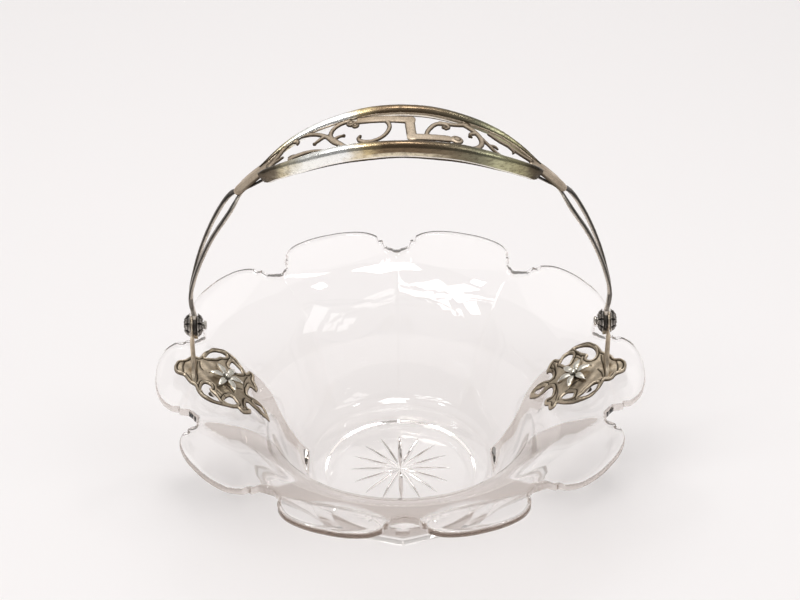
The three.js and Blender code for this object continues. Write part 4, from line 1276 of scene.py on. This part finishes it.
def rosette_relief(x, y):
    """Height of a rosette's petals, each with a ringed boss, and how dark its seams, boss rings and
    collar are painted, tarnish and painted shade.
    """
    step = 2 * math.pi / ROSETTE_PETALS
    turn = (np.arctan2(y, x) / step) % 1
    reach = np.hypot(x, y)
    across = np.minimum(turn, 1 - turn) * step * reach
    seam = soft(across, 0, 0.42) * np.clip(reach / ROSETTE_RADIUS * 2 - 0.4, 0, 1)
    boss_reach = BOSS_SHARE * ROSETTE_RADIUS
    boss = np.hypot(reach - boss_reach, (turn - 0.5) * step * boss_reach)
    ring_mark, eye = soft(boss, 0.95, 0.3), soft(boss, 0, 0.4)
    collar = soft(reach, COLLAR_SHARE * ROSETTE_RADIUS, 0.3)
    height = 0.5 * ring_mark + 0.3 * eye - 0.6 * seam - 0.4 * collar
    return height, seam + soft(boss, 0.5, 0.25) + soft(boss, 1.5, 0.3) + collar


def rosette(name, height, face, way):
    """A rosette on the pivot axis: its flat face at X face, its dome towards way."""
    sides, levels = 96, 22
    turns = np.arange(sides) * 2 * math.pi / sides
    petal_edge = 1 - abs(np.sin(turns * ROSETTE_PETALS / 2))
    rings = [np.zeros((sides, 3))]
    for share in np.linspace(1, 0, levels):
        reach = ROSETTE_RADIUS * share * (1 - ROSETTE_SCALLOP_SHARE * share * petal_edge)
        rings.append(ring(reach, height * (1 - share**2) ** 0.9, turns))
    piece = loft(name, rings)
    x, y, z = (coordinates(piece) / MM).T
    relief, depth = rosette_relief(x, y)
    raised = z > 0.05
    z = np.clip(z + raised * relief, 0, height)
    # Painted shade and tarnish in the carved lines of the dome
    darken(piece, depth * raised)
    set_coordinates(piece, np.column_stack([face + way * z, x, PIVOT_HEIGHT + y]) * MM)
    edit(piece, face_outwards)
    smooth_shading(piece, 50)
    return piece


def pin():
    """Pivot pin with a ring-shaped head on the inside."""
    turns = np.arange(ROUND_SIDES) * 2 * math.pi / ROUND_SIDES
    return loft("ring_head_pin_right", [np.column_stack([
        np.full(ROUND_SIDES, x), radius * np.cos(turns), PIVOT_HEIGHT + radius * np.sin(turns),
    ]) for x, radius in PIN_PROFILE])


def seated(piece, lift):
    """Moves a piece drawn on Z to the screw's place, square to the glass and lifted off it."""
    slope = inside_height(SCREW_PLACE + 1) - inside_height(SCREW_PLACE - 1)
    tilt = math.atan2(slope, 2)
    x, y, z = (coordinates(piece) / MM).T
    z = z + lift
    across = x * math.cos(tilt) - z * math.sin(tilt)
    up = x * math.sin(tilt) + z * math.cos(tilt)
    seat = inside_height(SCREW_PLACE)
    set_coordinates(piece, np.column_stack([SCREW_PLACE + across, y, seat + up]) * MM)


def flower():
    """Pointed, ridged petals around a stud, on the shank that holds the plaque."""
    out, up, widths = smooth_line(FLOWER_PETAL, 4).T
    ridge = oval(10, 1.5)
    parts = []
    for k in range(FLOWER_PETALS):
        turn = math.radians(FLOWER_TURN + 360 / FLOWER_PETALS * k)
        path = np.column_stack([out * math.cos(turn), out * math.sin(turn), up])
        parts.append(sweep(f"petal_{k}", path, (0, 0, 1), ridge, widths, PETAL_HALF_THICKNESS,
                           rounded=1))
    deselect_all()
    bpy.ops.mesh.primitive_uv_sphere_add(segments=24, ring_count=14, radius=1)
    stud = bpy.context.object
    set_coordinates(stud, (coordinates(stud) * STUD_SIZE + (0, 0, STUD_HEIGHT)) * MM)
    bpy.ops.mesh.primitive_cylinder_add(
        vertices=ROUND_SIDES, radius=SHANK_RADIUS * MM, depth=SHANK_LENGTH * MM)
    shank = bpy.context.object
    set_coordinates(shank, coordinates(shank) + (0, 0, SHANK_MIDDLE * MM))
    head = join([*parts, stud, shank])
    head.name = head.data.name = "flower_head_right"
    x, y, z = (coordinates(head) / MM).T
    # Painted shade around the foot of the stud, under the petals and on the shank
    darken(head, soft(np.hypot(x, y), SHANK_RADIUS, 0.4) * (z > 0) + (z < 0.9))
    seated(head, FLOWER_LIFT)
    smooth_shading(head, 40)
    return head


class JARDINIERE_OT_fixings(bpy.types.Operator):
    """Washers, nuts, pins, rosettes and flower heads"""

    bl_idname = "jardiniere.fixings"
    bl_label = "Pivots and Fixings"

    def execute(self, context):
        dark, leather = dark_finish(context), washer_finish(context)
        inner = rosette("inner_petal_rosette_right", height=2.4, face=98.4, way=-1)
        outer = rosette("outer_petal_rosette_right", height=3.2, face=102.3, way=1)
        pivot, head = pin(), flower()
        dress_pair(inner, dark, "root", "inner_rosette")
        dress_pair(outer, dark, "root", "outer_rosette")
        dress_pair(pivot, dark, "root", "pivot_pin")
        dress_pair(head, bright_finish(context), "root", "flower_screw")
        for side in ("right", "left"):
            paint(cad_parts[f"metal_washer_{side}"], dark)
            paint(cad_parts[f"nut_{side}"], dark)
            paint(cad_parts[f"inner_soft_washer_{side}"], leather)
            paint(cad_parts[f"outer_soft_washer_{side}"], leather)
        return {"FINISHED"}


# Lamps, in metres: name, place, what it is turned to, width, height and watts
BOWL_MIDDLE = (0, 0, 0.05)
LAMPS = [
    ("overhead_strip", (0.07, 0.14, 1.6), BOWL_MIDDLE, 0.3, 0.3, 4),
    ("soft_fill", (-0.3, 1.1, 2.0), (0, 0.3, 0), 2.2, 1.5, 7.2),
    ("right_lamp", (0.55, 0.12, 1.5), BOWL_MIDDLE, 0.14, 0.09, 1),
    ("left_lamp", (-0.48, 0.18, 1.5), BOWL_MIDDLE, 0.14, 0.09, 1),
]
FLOOR_SIZE = 14
CAMERA_PLACE = (-0.0177, -0.9271, 0.8281)
CAMERA_TURN = (52.445, 0, -1.08)
CAMERA_LENS = 108.81


def window_panes():
    """Small lamps whose reflections on the glass look like two windows."""
    for column in range(3):
        for row in range(2):
            left = (-0.32 - 0.19 * column, -0.2 - 0.26 * row, 1.5 - 0.12 * column)
            yield f"window_{column}_{row}", left, BOWL_MIDDLE, 0.14, 0.2, 0.8
            right = (0.75 + 0.12 * row, -0.15 - 0.3 * column, 1.15 - 0.2 * row)
            yield f"far_window_{column}_{row}", right, BOWL_MIDDLE, 0.2, 0.22, 0.35


def softbox(name, place, aim, width, height, watts):
    """A rectangular studio lamp turned towards aim."""
    data = bpy.data.lights.new(name, "AREA")
    data.shape = "RECTANGLE"
    data.size = width
    data.size_y = height
    data.energy = watts
    lamp = bpy.data.objects.new(name, data)
    lamp.location = place
    lamp.rotation_euler = (Vector(aim) - Vector(place)).to_track_quat("-Z", "Y").to_euler()
    bpy.context.collection.objects.link(lamp)


def pale_surround():
    """A world that lights from above and behind, and looks pale directly and through glass."""
    surround = bpy.data.worlds.new("pale_surround")
    sky = Finish(surround)
    way = sky.node("TexCoord", output="Generated")
    high = sky.one_of(way, "Z") * 0.8 + sky.one_of(way, "Y") * 0.45
    strength = sky.rise(high, 0.05, 0.85, low=0.26, high=0.6)
    lighting = sky.node("Background", values={"Color": (1, 0.99, 0.98), "Strength": strength})
    seen = sky.node("Background", values={"Color": (0.93, 0.91, 0.9), "Strength": 1.0})
    direct = (sky.ray("Is Camera Ray") + sky.ray("Is Transmission Ray")).clamped()
    sky.surface(sky.mix(direct, lighting, seen), "OutputWorld")
    return surround


class JARDINIERE_OT_stage(bpy.types.Operator):
    """Pale floor, soft lamps, a pale surround and the camera"""

    bl_idname = "jardiniere.stage"
    bl_label = "Stage"

    def execute(self, context):
        scene = context.scene
        deselect_all()
        bpy.ops.mesh.primitive_plane_add(size=FLOOR_SIZE)
        floor = context.object
        floor.name = floor.data.name = "floor"
        floor.data.materials.append(floor_finish(context))
        for lamp in (*LAMPS, *window_panes()):
            softbox(*lamp)
        scene.world = pale_surround()
        data = bpy.data.cameras.new("camera")
        data.lens = CAMERA_LENS
        data.sensor_width = 36
        camera = bpy.data.objects.new("camera", data)
        camera.location = CAMERA_PLACE
        camera.rotation_euler = [math.radians(turn) for turn in CAMERA_TURN]
        context.collection.objects.link(camera)
        scene.camera = camera
        scene.view_settings.view_transform = "Standard"
        return {"FINISHED"}


def length(name, description, default):
    return bpy.props.FloatProperty(
        name=name, description=description, default=default, unit="LENGTH")


def tone(name, description, default):
    return bpy.props.FloatVectorProperty(
        name=name, description=description, default=default, subtype="COLOR")


class JardiniereSizes(bpy.types.PropertyGroup):
    """Sizes that a user would change"""

    grip_thickness: length(
        "Grip Thickness", "Thickness of the pierced panel of the handle", 0.0013)
    strand_thickness: length(
        "Strand Thickness", "Thickness of each strand of the arms", 0.0023)


class JardiniereFinishes(bpy.types.PropertyGroup):
    """Colours that a user would change"""

    glass_tint: tone(
        "Glass Tint", "Colour of the light that passes the glass", (0.985, 0.976, 0.972))
    # Painted shade: the grey that the glass is painted in its cuts and where it is seen along its
    # skin
    glass_edge: tone(
        "Glass Edge", "Colour of the glass where it is seen along its skin", (0.68, 0.635, 0.6))
    trapped_tint: tone(
        "Trapped Tint", "Colour of light that runs along inside the glass", (0.78, 0.74, 0.71))
    cast_silver: tone("Cast Silver", "Dull silver of the plaques", (0.66, 0.555, 0.42))
    panel_silver: tone("Panel Silver", "Warm silver of the pierced grip", (0.82, 0.68, 0.525))
    # Colour of the painted highlight on the side of the rails
    polished_silver: tone("Polished Silver", "Bright silver of the rails", (0.92, 0.82, 0.62))
    bright_silver: tone("Bright Silver", "Rubbed silver of the flower heads", (0.84, 0.8, 0.7))
    # The arms' dark stripes are painted shade laid over this colour
    strap_silver: tone("Strap Silver", "Striped silver of the arms", (0.78, 0.71, 0.62))
    dark_silver: tone("Dark Silver", "Dark silver of the pivots", (0.5, 0.465, 0.42))
    soft_washer: tone("Soft Washer", "Leather of the washers at the glass", (0.2, 0.14, 0.1))
    floor: tone("Floor", "Pale floor", (0.9, 0.872, 0.87))
    far_floor: tone(
        "Far Floor", "The floor as it looks away from the lamps", (0.91, 0.885, 0.877))


OPERATORS = (
    JARDINIERE_OT_bowl,
    JARDINIERE_OT_grip,
    JARDINIERE_OT_rails,
    JARDINIERE_OT_arms,
    JARDINIERE_OT_plaques,
    JARDINIERE_OT_fixings,
    JARDINIERE_OT_stage,
)


class JARDINIERE_PT_panel(bpy.types.Panel):
    """Sizes, finishes and steps of the jardiniere"""

    bl_idname = "JARDINIERE_PT_panel"
    bl_label = "Jardiniere"
    bl_space_type = "VIEW_3D"
    bl_region_type = "UI"
    bl_category = "Jardiniere"

    def draw(self, context):
        for group in (context.scene.jardiniere_sizes, context.scene.jardiniere_finishes):
            box = self.layout.box()
            for name in type(group).__annotations__:
                box.prop(group, name)
        for operator in OPERATORS:
            self.layout.operator(operator.bl_idname)


CLASSES = (JardiniereSizes, JardiniereFinishes, *OPERATORS, JARDINIERE_PT_panel)


def register():
    for item in CLASSES:
        bpy.utils.register_class(item)
    bpy.types.Scene.jardiniere_sizes = bpy.props.PointerProperty(type=JardiniereSizes)
    bpy.types.Scene.jardiniere_finishes = bpy.props.PointerProperty(type=JardiniereFinishes)


def unregister():
    del bpy.types.Scene.jardiniere_sizes
    del bpy.types.Scene.jardiniere_finishes
    for item in reversed(CLASSES):
        bpy.utils.unregister_class(item)


def main():
    register()
    for operator in OPERATORS:
        group, name = operator.bl_idname.split(".")
        getattr(getattr(bpy.ops, group), name)()


if __name__ == "__main__":
    main()
